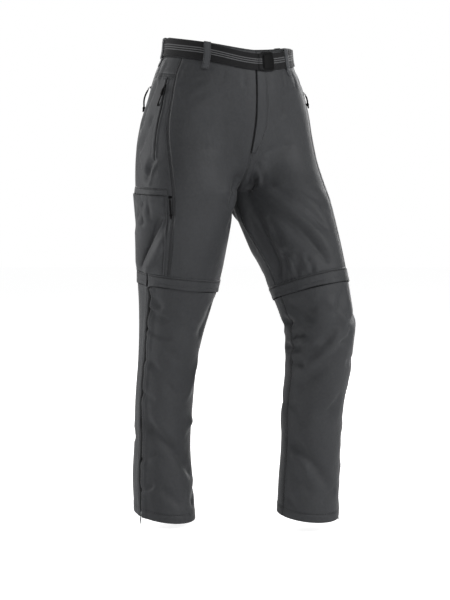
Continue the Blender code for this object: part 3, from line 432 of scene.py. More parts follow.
def makeField(side):  # the whole sheet of one half as a dense grid of points and normals
    rows, columns = fineMesh["rows"], fineMesh["columns"]
    drops = np.linspace(fineMesh["start"], hem[side] + fineMesh["past"], rows)
    around, drop = np.meshgrid(np.linspace(0, 1, columns), drops)
    lift = foldGain * foldHeight(side, around, drop) + creaseGain * creaseHeight(side, around, drop)
    points = smoothSheet(side, around, drop) + normalsOf(smoothSheet, side, around, drop) * lift[..., None]
    wide = np.empty((rows + 2, columns + 2, 3))
    wide[1:-1, 1:-1] = points
    joined = (drops > crotch + 0.002)[:, None]
    wide[1:-1, 0] = np.where(joined, points[:, -2], 2 * points[:, 0] - points[:, 1])
    wide[1:-1, -1] = np.where(joined, points[:, 1], 2 * points[:, -1] - points[:, -2])
    wide[0] = 2 * wide[1] - wide[2]
    wide[-1] = 2 * wide[-2] - wide[-3]
    normal = np.cross(np.gradient(wide, axis=1), np.gradient(wide, axis=0)) * -sign[side]
    normal /= np.maximum(np.linalg.norm(normal, axis=-1, keepdims=True), 1e-12)
    steps = np.linalg.norm(np.diff(points, axis=1), axis=-1)
    arc = np.concatenate([np.zeros((rows, 1)), np.cumsum(steps, axis=1)], 1)
    return {"grid": np.concatenate([wide, normal], -1), "drops": drops, "arc": arc}


fields = {side: makeField(side) for side in sides}
print("sheets of both halves made")


def splineShares(t):  # shares of four neighbours in a smooth curve between the middle two
    return [
        (-(t**3) + 2 * t * t - t) / 2,
        (3 * t**3 - 5 * t * t + 2) / 2,
        (-3 * t**3 + 4 * t * t + t) / 2,
        (t**3 - t * t) / 2,
    ]


def onSheet(side, around, drop, out):  # points of the folded sheet, moved out along its normals
    around, drop, out = np.broadcast_arrays(*[np.asarray(v, float) for v in (around, drop, out)])
    grid, drops = fields[side]["grid"], fields[side]["drops"]
    x = np.clip(around, 0, 1) * (fineMesh["columns"] - 1)
    y = np.clip((drop - drops[0]) / (drops[1] - drops[0]), 0, len(drops) - 1)
    i = np.minimum(x.astype(int), fineMesh["columns"] - 2)
    j = np.minimum(y.astype(int), len(drops) - 2)
    across, down = splineShares(x - i), splineShares(y - j)
    both = 0
    for m in range(4):
        for k in range(4):
            both = both + (across[k] * down[m])[..., None] * grid[j + m, i + k]
    normal = both[..., 3:] / np.maximum(np.linalg.norm(both[..., 3:], axis=-1, keepdims=True), 1e-12)
    points = both[..., :3] + normal * out[..., None]
    own = np.maximum(points[..., 0] * sign[side], seamGap)
    sewn = (1 - ease(np.minimum(around, 1 - around) / 0.004)) * (drop < crotch)
    own = own + (seamGap - own) * sewn
    points[..., 0] = np.where(drop < crotch + 0.05, own * sign[side], points[..., 0])
    return points


def outward(side, around, drop):
    return (onSheet(side, around, drop, 0.01) - onSheet(side, around, drop, 0.0)) / 0.01


def arcAt(side, around, drop):  # metres of cloth from the centre front
    around, drop = np.broadcast_arrays(np.asarray(around, float), np.asarray(drop, float))
    arc, drops = fields[side]["arc"], fields[side]["drops"]
    x = np.clip(around, 0, 1) * (fineMesh["columns"] - 1)
    i = np.minimum(x.astype(int), fineMesh["columns"] - 2)
    j = np.clip(np.rint((drop - drops[0]) / (drops[1] - drops[0])).astype(int), 0, len(drops) - 1)
    return arc[j, i] * (1 - (x - i)) + arc[j, i + 1] * (x - i)


def perAround(side, around, drop):  # metres of cloth for each unit around
    before, after = around - 0.01, around + 0.01
    cloth = arcAt(side, after, drop) - arcAt(side, before, drop)
    return cloth / (np.clip(after, 0, 1) - np.clip(before, 0, 1))


# Node groups that several finishes share


def newGroup(name, inputs, outputs):
    group = bpy.data.node_groups.new(name, "ShaderNodeTree")
    for label, kind, value in inputs:
        made = group.interface.new_socket(name=label, in_out="INPUT", socket_type=kind)
        if value is not None:
            made.default_value = value
    for label, kind in outputs:
        group.interface.new_socket(name=label, in_out="OUTPUT", socket_type=kind)
    return group, group.nodes.new("NodeGroupInput"), group.nodes.new("NodeGroupOutput")


def feed(tree, socket, value):
    if isinstance(value, bpy.types.NodeSocket):
        tree.links.new(value, socket)
    else:
        socket.default_value = value


def maths(tree, operation, *values, clamp=False):
    node = tree.nodes.new("ShaderNodeMath")
    node.operation = operation
    node.use_clamp = clamp
    for socket, value in zip(node.inputs, values):
        feed(tree, socket, value)
    return node.outputs[0]


def noise(tree, vector, scale, detail=2.0, roughness=0.5):
    node = tree.nodes.new("ShaderNodeTexNoise")
    feed(tree, node.inputs["Vector"], vector)
    feed(tree, node.inputs["Scale"], scale)
    node.inputs["Detail"].default_value = detail
    node.inputs["Roughness"].default_value = roughness
    return node.outputs["Fac"]


def mixColour(tree, factor, a, b):
    node = tree.nodes.new("ShaderNodeMix")
    node.data_type = "RGBA"
    feed(tree, node.inputs[0], factor)
    feed(tree, node.inputs[6], a)
    feed(tree, node.inputs[7], b)
    return node.outputs[2]


def stretched(tree, vector, scale):
    node = tree.nodes.new("ShaderNodeMapping")
    feed(tree, node.inputs["Vector"], vector)
    node.inputs["Scale"].default_value = scale
    return node.outputs[0]


def makeWeaveGroup():  # a plain weave from the cloth's own UV in metres
    group, start, end = newGroup(
        "plainWeave",
        [("Vector", "NodeSocketVector", None), ("Threads", "NodeSocketFloat", 2600.0)],
        [("Height", "NodeSocketFloat"), ("Mask", "NodeSocketFloat")],
    )
    split = group.nodes.new("ShaderNodeSeparateXYZ")
    group.links.new(start.outputs["Vector"], split.inputs[0])
    warp = maths(group, "SINE", maths(group, "MULTIPLY", split.outputs[0], start.outputs["Threads"]))
    weft = maths(group, "SINE", maths(group, "MULTIPLY", split.outputs[1], start.outputs["Threads"]))
    height = maths(group, "MULTIPLY_ADD", maths(group, "MULTIPLY", warp, weft), 0.5, 0.5)
    uneven = noise(group, stretched(group, start.outputs["Vector"], (900.0, 60.0, 1.0)), 1.0)
    group.links.new(maths(group, "MULTIPLY_ADD", uneven, 0.5, height), end.inputs["Height"])
    group.links.new(height, end.inputs["Mask"])
    return group


def makeToneGroup():  # slow and fine change of tone over a surface
    group, start, end = newGroup(
        "unevenTone",
        [
            ("Vector", "NodeSocketVector", None),
            ("Broad", "NodeSocketFloat", 9.0),
            ("Fine", "NodeSocketFloat", 140.0),
        ],
        [("Value", "NodeSocketFloat")],
    )
    broad = noise(group, start.outputs["Vector"], start.outputs["Broad"], 3.0)
    fine = noise(group, start.outputs["Vector"], start.outputs["Fine"], 4.0, 0.6)
    both = maths(group, "MULTIPLY_ADD", broad, 0.6, maths(group, "MULTIPLY", fine, 0.4))
    value = maths(group, "MULTIPLY_ADD", maths(group, "SUBTRACT", both, 0.5), 2.2, 0.5, clamp=True)
    group.links.new(value, end.inputs["Value"])
    return group


def makeWearGroup():  # a mask of rubbed edges and seams, broken up by grain
    group, start, end = newGroup(
        "rubbedEdges",
        [
            ("Vector", "NodeSocketVector", None),
            ("Near", "NodeSocketFloat", 0.0),
            ("Grain", "NodeSocketFloat", 420.0),
        ],
        [("Mask", "NodeSocketFloat")],
    )
    grain = noise(group, start.outputs["Vector"], start.outputs["Grain"], 3.0, 0.6)
    broken = maths(group, "MULTIPLY_ADD", grain, 1.6, -0.3, clamp=True)
    group.links.new(maths(group, "MULTIPLY", start.outputs["Near"], broken), end.inputs["Mask"])
    return group


weaveGroup = makeWeaveGroup()
toneGroup = makeToneGroup()
wearGroup = makeWearGroup()


def groupNode(tree, group, **values):
    node = tree.nodes.new("ShaderNodeGroup")
    node.node_tree = group
    for name, value in values.items():
        feed(tree, node.inputs[name], value)
    return node


def bump(tree, height, strength, distance, before=None):
    node = tree.nodes.new("ShaderNodeBump")
    node.inputs["Strength"].default_value = strength
    node.inputs["Distance"].default_value = distance
    feed(tree, node.inputs["Height"], height)
    if before is not None:
        tree.links.new(before, node.inputs["Normal"])
    return node.outputs[0]


def newFinish(name, **values):
    made = bpy.data.materials.new(name)
    made.use_nodes = True
    tree = made.node_tree
    shader = tree.nodes["Principled BSDF"]
    for label, value in values.items():
        shader.inputs[label.replace("_", " ")].default_value = value
    places = tree.nodes.new("ShaderNodeTexCoord").outputs["Object"]
    return made, tree, shader, places


def wire(tree, shader, colour, roughness, normal):
    for label, value in (("Base Color", colour), ("Roughness", roughness), ("Normal", normal)):
        tree.links.new(value, shader.inputs[label])


def attribute(tree, name):
    node = tree.nodes.new("ShaderNodeAttribute")
    node.attribute_name = name
    return node.outputs["Fac"]


def clothUv(tree):
    node = tree.nodes.new("ShaderNodeUVMap")
    node.uv_map = "cloth"
    return node.outputs[0]


# The near-black colour here is painted shade for the line along seams, standing in for the shadow in their grooves;
# the rubbed colour is real wear.
nylonLook = {
    "dark": (0.036, 0.0375, 0.0405), "pale": (0.060, 0.062, 0.066),
    "rubbed": (0.110, 0.113, 0.120, 1), "seam": (0.010, 0.0105, 0.0115, 1),
    "sheen": 0.12, "threads": 7400.0, "seamSharp": 7.0, "seamDark": 0.62,
}


def makeNylon(name, shade=1.0, sheen=1.0):  # woven cloth: painted shade as a dark line along its seams, with rubbed wear and puckers there
    made, tree, shader, places = newFinish(
        name, Sheen_Weight=nylonLook["sheen"] * sheen, Sheen_Roughness=0.35, Specular_IOR_Level=0.28
    )
    uv, seamNear = clothUv(tree), attribute(tree, "seamNear")
    tone = groupNode(tree, toneGroup, Vector=places, Broad=8.0, Fine=160.0).outputs["Value"]
    weave = groupNode(tree, weaveGroup, Vector=uv, Threads=nylonLook["threads"])
    wear = groupNode(tree, wearGroup, Vector=places, Near=seamNear, Grain=420.0).outputs["Mask"]
    dark, pale = ((*(v * shade for v in nylonLook[k]), 1) for k in ("dark", "pale"))
    colour = mixColour(tree, tone, dark, pale)
    colour = mixColour(tree, maths(tree, "MULTIPLY", weave.outputs["Mask"], 0.16), colour, dark)
    colour = mixColour(tree, maths(tree, "MULTIPLY", wear, 0.04), colour, nylonLook["rubbed"])
    # painted shade: close to seams the colour darkens to near black, standing in for the shadow in their grooves
    seamLine = maths(tree, "POWER", seamNear, nylonLook["seamSharp"])
    colour = mixColour(tree, maths(tree, "MULTIPLY", seamLine, nylonLook["seamDark"]), colour, nylonLook["seam"])
    pucker = noise(tree, stretched(tree, uv, (150.0, 150.0, 1.0)), 1.0, 2.0)
    pucker = maths(tree, "MULTIPLY", maths(tree, "SUBTRACT", pucker, 0.5), seamNear)
    slub = noise(tree, stretched(tree, uv, (34.0, 26.0, 1.0)), 1.0, 3.0)
    crush = noise(tree, stretched(tree, uv, (13.0, 9.0, 1.0)), 1.0, 4.0, 0.55)
    normal = bump(tree, slub, 0.6, 0.0012, bump(tree, crush, 0.55, 0.0075))
    normal = bump(tree, pucker, 0.9, 0.0016, normal)
    normal = bump(tree, weave.outputs["Height"], 0.55, 0.00009, normal)
    wire(tree, shader, colour, maths(tree, "MULTIPLY_ADD", tone, 0.12, 0.50), normal)
    return made


def makeThread(name, colour):
    made, tree, shader, places = newFinish(name, Sheen_Weight=0.2, Specular_IOR_Level=0.4)
    tone = groupNode(tree, toneGroup, Vector=places, Broad=60.0, Fine=2400.0).outputs["Value"]
    base = mixColour(tree, tone, (*colour, 1), (*(v * 1.5 for v in colour), 1))
    rough = maths(tree, "MULTIPLY_ADD", tone, 0.2, 0.45)
    wire(tree, shader, base, rough, bump(tree, noise(tree, places, 3800.0), 0.4, 0.0001))
    return made


webbingLook = {
    "black": (0.0045, 0.0045, 0.0048, 1), "worn": (0.014, 0.014, 0.015, 1),
    "ridge": (0.034, 0.034, 0.036, 1), "grey": (0.175, 0.178, 0.184, 1),
    "stripes": (-0.0066, -0.0018, 0.0030), "stripeHalf": 0.0013, "ribs": 2300.0, "warps": 5200.0,
}


def makeWebbing():  # ribbed strap with three grey stripes along its middle
    made, tree, shader, places = newFinish(
        "blackWebbing", Sheen_Weight=0.06, Sheen_Roughness=0.4, Specular_IOR_Level=0.14
    )
    uv = clothUv(tree)
    split = tree.nodes.new("ShaderNodeSeparateXYZ")
    tree.links.new(uv, split.inputs[0])
    along, across = split.outputs[0], split.outputs[1]
    stripes = None
    for place in webbingLook["stripes"]:
        off = maths(tree, "ABSOLUTE", maths(tree, "SUBTRACT", across, place))
        inside = maths(tree, "SUBTRACT", webbingLook["stripeHalf"], off)
        line = maths(tree, "MULTIPLY", inside, 3000.0, clamp=True)
        stripes = line if stripes is None else maths(tree, "MAXIMUM", stripes, line)
    chevron = maths(tree, "MULTIPLY_ADD", maths(tree, "PINGPONG", across, 0.0024), 0.9, along)
    rib = maths(tree, "SINE", maths(tree, "MULTIPLY", chevron, webbingLook["ribs"]))
    warp = maths(tree, "SINE", maths(tree, "MULTIPLY", across, webbingLook["warps"]))
    height = maths(tree, "MULTIPLY_ADD", rib, 0.35, maths(tree, "MULTIPLY", warp, 0.15))
    tone = groupNode(tree, toneGroup, Vector=places, Broad=30.0, Fine=600.0).outputs["Value"]
    broken = maths(tree, "MULTIPLY", stripes, maths(tree, "MULTIPLY_ADD", rib, 0.35, 0.65, clamp=True))
    black = mixColour(tree, tone, webbingLook["black"], webbingLook["worn"])
    ridges = maths(tree, "MULTIPLY_ADD", rib, 0.22, 0.22, clamp=True)
    black = mixColour(tree, ridges, black, webbingLook["ridge"])
    base = mixColour(tree, broken, black, webbingLook["grey"])
    wire(tree, shader, base, maths(tree, "MULTIPLY_ADD", tone, 0.15, 0.55), bump(tree, height, 0.8, 0.0005))
    return made


tapeLook = {"black": (0.005, 0.005, 0.0055, 1), "worn": (0.011, 0.011, 0.012, 1), "threads": 5200.0}


def makeTape():
    made, tree, shader, places = newFinish("blackZipTape", Sheen_Weight=0.04, Specular_IOR_Level=0.2)
    uv = clothUv(tree)
    tone = groupNode(tree, toneGroup, Vector=places, Broad=25.0, Fine=700.0).outputs["Value"]
    weave = groupNode(tree, weaveGroup, Vector=uv, Threads=tapeLook["threads"])
    base = mixColour(tree, tone, tapeLook["black"], tapeLook["worn"])
    rough = maths(tree, "MULTIPLY_ADD", tone, 0.15, 0.6)
    wire(tree, shader, base, rough, bump(tree, weave.outputs["Height"], 0.7, 0.0002))
    return made


hardLooks = {  # colours, tone sizes, edge wear, roughness with its change, and bump of each hard finish
    "blackPlastic": {
        "dark": (0.0018, 0.0018, 0.0020, 1), "pale": (0.0040, 0.0040, 0.0043, 1), "worn": (0.075, 0.075, 0.078, 1),
        "tone": (70.0, 1600.0), "wear": 0.5, "rough": (0.14, 0.46), "bump": (2600.0, 0.22, 0.00012),
        "shader": {"Specular_IOR_Level": 0.10},
    },
    "blackCoil": {
        "dark": (0.004, 0.004, 0.0045, 1), "pale": (0.009, 0.009, 0.010, 1), "worn": (0.075, 0.075, 0.078, 1),
        "tone": (70.0, 1600.0), "wear": 0.5, "rough": (0.14, 0.42), "bump": (2600.0, 0.22, 0.00012),
        "shader": {"Specular_IOR_Level": 0.10},
    },
    "greyMetal": {
        "dark": (0.16, 0.165, 0.17, 1), "pale": (0.30, 0.305, 0.31, 1), "worn": (0.55, 0.55, 0.56, 1),
        "tone": (120.0, 1800.0), "wear": 0.6, "rough": (0.2, 0.28), "bump": (1500.0, 0.15, 0.0001),
        "shader": {"Metallic": 1.0},
    },
}


def makeHard(name):
    look = hardLooks[name]
    made, tree, shader, places = newFinish(name, **look["shader"])
    broad, fine = look["tone"]
    tone = groupNode(tree, toneGroup, Vector=places, Broad=broad, Fine=fine).outputs["Value"]
    wear = groupNode(tree, wearGroup, Vector=places, Near=attribute(tree, "edgeNear"), Grain=900.0).outputs["Mask"]
    base = mixColour(tree, tone, look["dark"], look["pale"])
    base = mixColour(tree, maths(tree, "MULTIPLY", wear, look["wear"]), base, look["worn"])
    scale, strength, distance = look["bump"]
    normal = bump(tree, noise(tree, places, scale, 3.0), strength, distance)
    wire(tree, shader, base, maths(tree, "MULTIPLY_ADD", tone, *look["rough"]), normal)
    return made


nylon = makeNylon("darkGreyNylon")
loopNylon = makeNylon("paleGreyNylon", 1.6, 1.2)
thread = makeThread("darkThread", (0.011, 0.0115, 0.0125))
webbing = makeWebbing()
tape = makeTape()
plastic, coilPlastic, metal = (makeHard(name) for name in hardLooks)
print("finishes made")


# Mesh helpers


def meshPiece(name, points, faces, finish, uv=None, marks=None):
    mesh = bpy.data.meshes.new(name)
    mesh.from_pydata(np.asarray(points).tolist(), [], [list(f) for f in faces])
    mesh.materials.append(finish)
    mesh.shade_smooth()
    if uv is not None:
        corners = np.empty(len(mesh.loops), int)
        mesh.loops.foreach_get("vertex_index", corners)
        mesh.uv_layers.new(name="cloth").data.foreach_set("uv", np.asarray(uv)[corners].ravel())
    for label, values in (marks or {}).items():
        mesh.attributes.new(label, "FLOAT", "POINT").data.foreach_set("value", np.asarray(values, float).ravel())
    made = bpy.data.objects.new(name + "_look", mesh)
    bpy.context.scene.collection.objects.link(made)
    return made


def clothSheet(name, side, around, drop, out, inner, uv, near):  # a shell of nylon between two distances; near marks the seams, where shade is painted and the cloth is rubbed
    outer, inner = onSheet(side, around, drop, out), onSheet(side, around, drop, inner)
    return shell(name, outer, inner, nylon, uv, {"seamNear": near})


def signedVolume(points, quads):
    a, b, c, d = (points[quads[:, k]] for k in range(4))
    return float((a * np.cross(b, c)).sum() + (a * np.cross(c, d)).sum()) / 6


def shell(name, outer, inner, finish, uv=None, marks=None):  # a closed thin wall between two grids
    rows, columns = outer.shape[:2]
    points = np.concatenate([outer.reshape(-1, 3), inner.reshape(-1, 3)])
    index = np.arange(rows * columns).reshape(rows, columns)
    a, b, d, e = index[:-1, :-1], index[:-1, 1:], index[1:, :-1], index[1:, 1:]
    front = np.stack([a, b, e, d], -1).reshape(-1, 4)
    back = front[:, ::-1] + rows * columns
    edge = np.concatenate([index[0], index[1:, -1], index[-1, -2::-1], index[-2:0:-1, 0]])
    after = np.roll(edge, -1)
    rim = np.stack([after, edge, edge + rows * columns, after + rows * columns], -1)
    quads = np.concatenate([front, back, rim])
    if signedVolume(points, quads) < 0:
        quads = quads[:, ::-1]
    twice = {k: np.concatenate([np.ravel(v), np.ravel(v)]) for k, v in (marks or {}).items()}
    flatUv = None if uv is None else np.concatenate([uv.reshape(-1, 2)] * 2)
    return meshPiece(name, points, quads, finish, flatUv, twice)


clothRound = {"waist": 0.45, "thigh": 0.55, "pocket": 0.58}  # metres of cloth for one unit around, for UVs


def stepsOver(length, spacing, fine=()):  # shares from 0 to 1, closer together in the fine stretches
    at, found = 0.0, [0.0]
    while at < length:
        near = [s for lo, hi, s in fine if lo - spacing <= at <= hi]
        at += min([spacing] + near)
        found.append(at)
    return np.array(found) / at


# Cloth panels

upperCut = {
    "top": 0.0403, "bandTape": 0.012, "bandHeight": 0.027, "cloth": 0.0013,
    "felledWidth": 0.0080, "felledRise": 0.00012, "felledRows": (0.0018, 0.0064), "seatRow": 0.0026,
}
seamLines = {
    "front": table("drop around", [(0.00, 0.365), (0.04, 0.371), (0.13, 0.361), (0.24, 0.361), (0.55, 0.366)]),
    "back": table("drop around", [(0.00, 0.615), (0.10, 0.622), (0.30, 0.622), (0.55, 0.620)]),
}
sideZipLines = {
    "right": table(
        "drop around",
        [
            (0.54, 0.452), (0.565, 0.450), (0.615, 0.458), (0.67, 0.466), (0.744, 0.468),
            (0.80, 0.468), (0.876, 0.456), (0.96, 0.460), (1.052, 0.460),
        ],
    ),
    "left": table(
        "drop around",
        [(0.54, 0.457), (0.60, 0.462), (0.70, 0.466), (0.80, 0.462), (0.90, 0.457), (1.052, 0.460)],
    ),
}
hipZip = {
    "line": table("drop around", [(0.083, 0.420), (0.150, 0.412), (0.184, 0.417), (0.240, 0.425), (0.262, 0.430)]),
    "start": 0.085, "end": 0.262, "slider": 0.104, "stitchOff": 0.0092,
}
yoke = {"drops": (0.0765, 0.0865), "rise": 0.0009, "front": 0.366, "back": 0.60}  # seam at the hip pocket's top
backZip = {"start": 0.640, "end": 0.810, "drop": 0.103, "slider": 0.652}
fly = {"width": 0.052, "end": 0.245, "rows": (0.80, 0.93), "groove": 0.0030}
stitchPaths = {"waist": [], "upper": [], "lower": []}
stitchTrench = {"depth": 0.0009, "half": 0.0012}
stitchSunk = 0.00018  # how far a seam's stitches lie below its ridge


def along(rows, drop):
    return np.interp(drop, rows["drop"], rows["around"])


def fixed(value):
    return {"drop": np.array([0.0, 2.0]), "around": np.array([value, value])}


def trench(distance):
    return -stitchTrench["depth"] * hump(distance, 0, stitchTrench["half"])


def pathMarks(side, around, drop, out, rows="upper"):  # keeps a row of stitches for later
    stitchPaths[rows].append((onSheet(side, around, drop, out), outward(side, around, drop)))


def besideLine(side, line, offset, drops, out, rows="upper"):  # stitches at a distance from a line down the cloth
    cloth = perAround(side, np.clip(line + 0 * drops, 0.011, 0.989), drops)
    pathMarks(side, line + offset / cloth, drops, out, rows)


def widthAt(side, start, end, drop):
    return float(arcAt(side, along(end, drop), drop) - arcAt(side, along(start, drop), drop))


def panelGrid(side, start, end, top, bottom, fineAcross=(), fineDown=()):  # places between two seam lines
    height = bottom - top
    drop = top + height * stepsOver(height, fineMesh["spacing"], fineDown)
    width = widthAt(side, start, end, (top + bottom) / 2)
    across = stepsOver(width, fineMesh["spacing"], fineAcross)
    lo = along(start, drop)[:, None]
    hi = along(end, drop)[:, None]
    around = lo + (hi - lo) * across[None, :]
    cloth = perAround(side, np.clip(around, 0.01, 0.99), drop[:, None] + 0 * around)
    gap = seamGap / np.maximum(cloth, 0.1)
    around[:, 0] += gap[:, 0]
    around[:, -1] -= gap[:, -1]
    drop = np.repeat(drop[:, None], around.shape[1], 1)
    arc = arcAt(side, around, drop)
    fromStart = arc - arc[:, :1]
    toEnd = arc[:, -1:] - arc
    uv = np.stack([arc - arcAt(side, (lo + hi) / 2, drop[:, :1]), -drop], -1)
    return around, drop, fromStart, toEnd, uv


def clothPiece(name, side, grid, out, near):  # a panel: its seams rise outwards, its inside stays even
    around, drop, uv = grid[0], grid[1], grid[4]
    return clothSheet(name, side, around, drop, out, np.minimum(out, 0.0) - upperCut["cloth"], uv, near)


def nearStitch(*distances):
    return np.clip(sum(hump(d, 0, 0.0045) for d in distances), 0, 1)


def lips(distance, places, halves, heights, groove):  # two soft folds of cloth beside a zip
    raised = [height * hump(distance, at, half) for at, half, height in zip(places, halves, heights)]
    return sum(raised) - groove * hump(distance, 0.0, 0.0013)


def felled(distance):  # a lapped seam: a raised edge held by two rows of stitches
    width, rise = upperCut["felledWidth"], upperCut["felledRise"]
    ridge = rise * (1 - ease((distance - width) / 0.0012)) * ease((distance + 0.0004) / 0.0009)
    return ridge + trench(distance - 0.0018) + trench(distance - width + 0.0016)


def upperPanels(side):
    top, bottom = upperCut["top"], zipOff[side] - upperCut["bandTape"] - legGap
    bandTop = zipOff[side] - upperCut["bandHeight"]
    fineEdge = (0.0, 0.010, fineMesh["fine"])
    made = {}
    # front, with a groove beside the fly's lap
    grid = panelGrid(side, fixed(0.0), seamLines["front"], top, bottom, [(0.0, 0.006, fineMesh["fine"])])
    drop, fromStart, toEnd = grid[1:4]
    out = trench(fromStart - upperCut["seatRow"]) * (drop > 0.16)
    if side == "right":
        out = out - fly["groove"] * hump(fromStart, 0.0, 0.0024) * ease((fly["end"] + 0.01 - drop) / 0.02)
    # painted shade: a dark line on the front just above the zip-off flap, and beside the fly's lap
    near = np.maximum(nearStitch(toEnd), 0.8 * hump(drop, bandTop, 0.006))
    near = np.maximum(near, hump(fromStart, 0.0, 0.006) * (drop < fly["end"]))
    made["front"] = clothPiece("front_" + side, side, grid, out, near)
    # side, with the lips of the hip pocket and its yoke seam
    zipAt = widthAt(side, seamLines["front"], fixed(0.417), 0.17)
    grid = panelGrid(
        side, seamLines["front"], seamLines["back"], top, bottom,
        [fineEdge, (zipAt - 0.011, zipAt + 0.011, 0.0012)], [(0.030, 0.052, 0.0012)],
    )
    around, drop, fromStart, toEnd = grid[:4]
    away = arcAt(side, around, drop) - arcAt(side, along(hipZip["line"], drop), drop)
    inPocket = ease((drop - hipZip["start"] + 0.002) / 0.006) * ease((hipZip["end"] + 0.002 - drop) / 0.012)
    pocketLips = lips(away, (0.0040, -0.0038), (0.0022, 0.0024), (0.0011, 0.00154), 0.0011)
    onYoke = ease((around - yoke["front"]) / 0.01)
    step = yoke["rise"] * ease((drop - 0.0835) / 0.001) * (1 - ease((drop - 0.30) / 0.1))
    seams = (sum(trench(drop - at) for at in yoke["drops"]) + step) * onYoke * ease((yoke["back"] - around) / 0.02)
    out = felled(fromStart) + pocketLips * inPocket + seams - 0.0006 * hump(toEnd, 0.0, 0.001)
    near = np.maximum(nearStitch(fromStart - 0.004, toEnd), nearStitch(away) * inPocket)
    near = np.maximum(near, hump(drop, sum(yoke["drops"]) / 2, 0.006) * onYoke)
    made["side"] = clothPiece("side_" + side, side, grid, out, near)
    # back, with the welt of the right back pocket
    fineDown = [(0.050, 0.075, 0.0010)] if side == "right" else []
    grid = panelGrid(side, seamLines["back"], fixed(1.0), top, bottom, [fineEdge], fineDown)
    around, drop, fromStart, toEnd = grid[:4]
    out = felled(fromStart) + trench(toEnd - upperCut["seatRow"]) + 0.0005 * (1 - ease((toEnd - 0.006) / 0.001))
    near = np.maximum(nearStitch(fromStart - 0.004), nearStitch(toEnd - 0.003))
    if side == "right":
        inPocket = ease((around - backZip["start"] + 0.006) / 0.008)
        inPocket = inPocket * ease((backZip["end"] + 0.006 - around) / 0.008)
        off = drop - backZip["drop"]
        out = out + lips(off, (0.0040, -0.0040), (0.0020, 0.0020), (0.0012, 0.0012), 0.0010) * inPocket
        near = np.maximum(near, hump(off, 0, 0.010) * inPocket)
    made["back"] = clothPiece("back_" + side, side, grid, out, near)
    # stitches of the long seams, the yoke, the seat and the hip pocket
    drops = np.arange(top + 0.004, bandTop - 0.001, 0.004)
    for line in ("front", "back"):
        for offset in upperCut["felledRows"]:
            besideLine(side, along(seamLines[line], drops), offset, drops, upperCut["felledRise"] - stitchSunk)
    for at, lift in zip(yoke["drops"], (-0.00012, 0.00070)):
        pathMarks(side, np.linspace(0.372, 0.598, 60), at, lift)
    drops = np.arange(crotchStart, crotch - 0.002, 0.003)
    besideLine(side, 0.0, upperCut["seatRow"], drops, -0.00012)
    drops = np.arange(top + 0.004, crotch - 0.002, 0.003)
    besideLine(side, 1.0, -upperCut["seatRow"], drops, 0.00035)
    drops = np.arange(hipZip["start"] + 0.002, hipZip["end"], 0.003)
    for offset in (-hipZip["stitchOff"], hipZip["stitchOff"]):
        besideLine(side, along(hipZip["line"], drops), offset, drops, 0.00012)
    return made


zipOffCut = {
    "standOff": 0.0005, "cloth": 0.0014, "wave": 0.0008, "slit": 0.4600, "slitHalf": 0.0022,
    "stitchUp": 0.0225, "hemUp": 0.0085,
}


def zipOffBand(side):  # the flap that hides the zip round the thigh, slit over the side zip
    bottom = zipOff[side] - 0.0005
    top = zipOff[side] - upperCut["bandHeight"]
    half = zipOffCut["slitHalf"] / clothRound["thigh"]
    height = bottom - top
    drops = top + height * stepsOver(height, 0.0028, [(0.0, 0.007, 0.0009), (height - 0.004, height, 0.0007)])
    arounds = zipOffCut["slit"] + half + (1 - 2 * half) * np.linspace(0, 1, 230)
    around, drop = np.meshgrid(arounds % 1.0, drops)
    turns = np.meshgrid(arounds, drops)[0]
    low = ease((drop - top - 0.008) / 0.016)
    slit = 1 - ease(np.minimum(turns - arounds[0], arounds[-1] - turns) * clothRound["thigh"] / 0.012)
    wave = zipOffCut["wave"] * (np.sin(turns * 41.0) + 0.6 * np.sin(turns * 97.0 + 1.0)) * low
    shift = 0.0007 * np.sin(turns * 29.0 + 2.0) * low + 0.0030 * slit * low
    out = zipOffCut["standOff"] + zipOffCut["cloth"] * ease((drop - top + 0.0002) / 0.0022)
    out = out + np.maximum(wave, 0) + trench(drop - bottom + zipOffCut["stitchUp"]) + 0.0008 * slit * low
    out = out + 0.0004 * ease((drop - bottom + 0.009) / 0.001) + trench(drop - bottom + zipOffCut["hemUp"]) * 0.6
    inner = np.maximum(out - zipOffCut["cloth"], 0.0002)
    uv = np.stack([turns * clothRound["thigh"], -drop], -1)
    near = np.maximum(hump(drop, bottom - zipOffCut["stitchUp"], 0.004), hump(drop, bottom, 0.004))
    for up, lift in ((zipOffCut["stitchUp"], 0.0016), (zipOffCut["hemUp"], 0.0022)):
        pathMarks(side, (arounds % 1.0)[2:-2], bottom - up + shift[0, 2:-2], lift)
    return clothSheet("zip_off_flap_" + side, side, around, drop + shift, out, inner, uv, near)


lowerCut = {
    "hemHeight": 0.019, "hemRise": 0.0007, "hemRow": 0.0012, "lip": 0.0024, "lipRow": 0.0085,
    "sliderAt": 0.46, "sliderUp": 0.0075,
    # at the side zip: how high each panel's lip is, where it starts, and where its turned edge ends
    "front": {"high": 1.25, "lipFrom": 0.0012, "edge": 0.0008},
    "back": {"high": 0.8, "lipFrom": 0.0034, "edge": 0.0026},
}


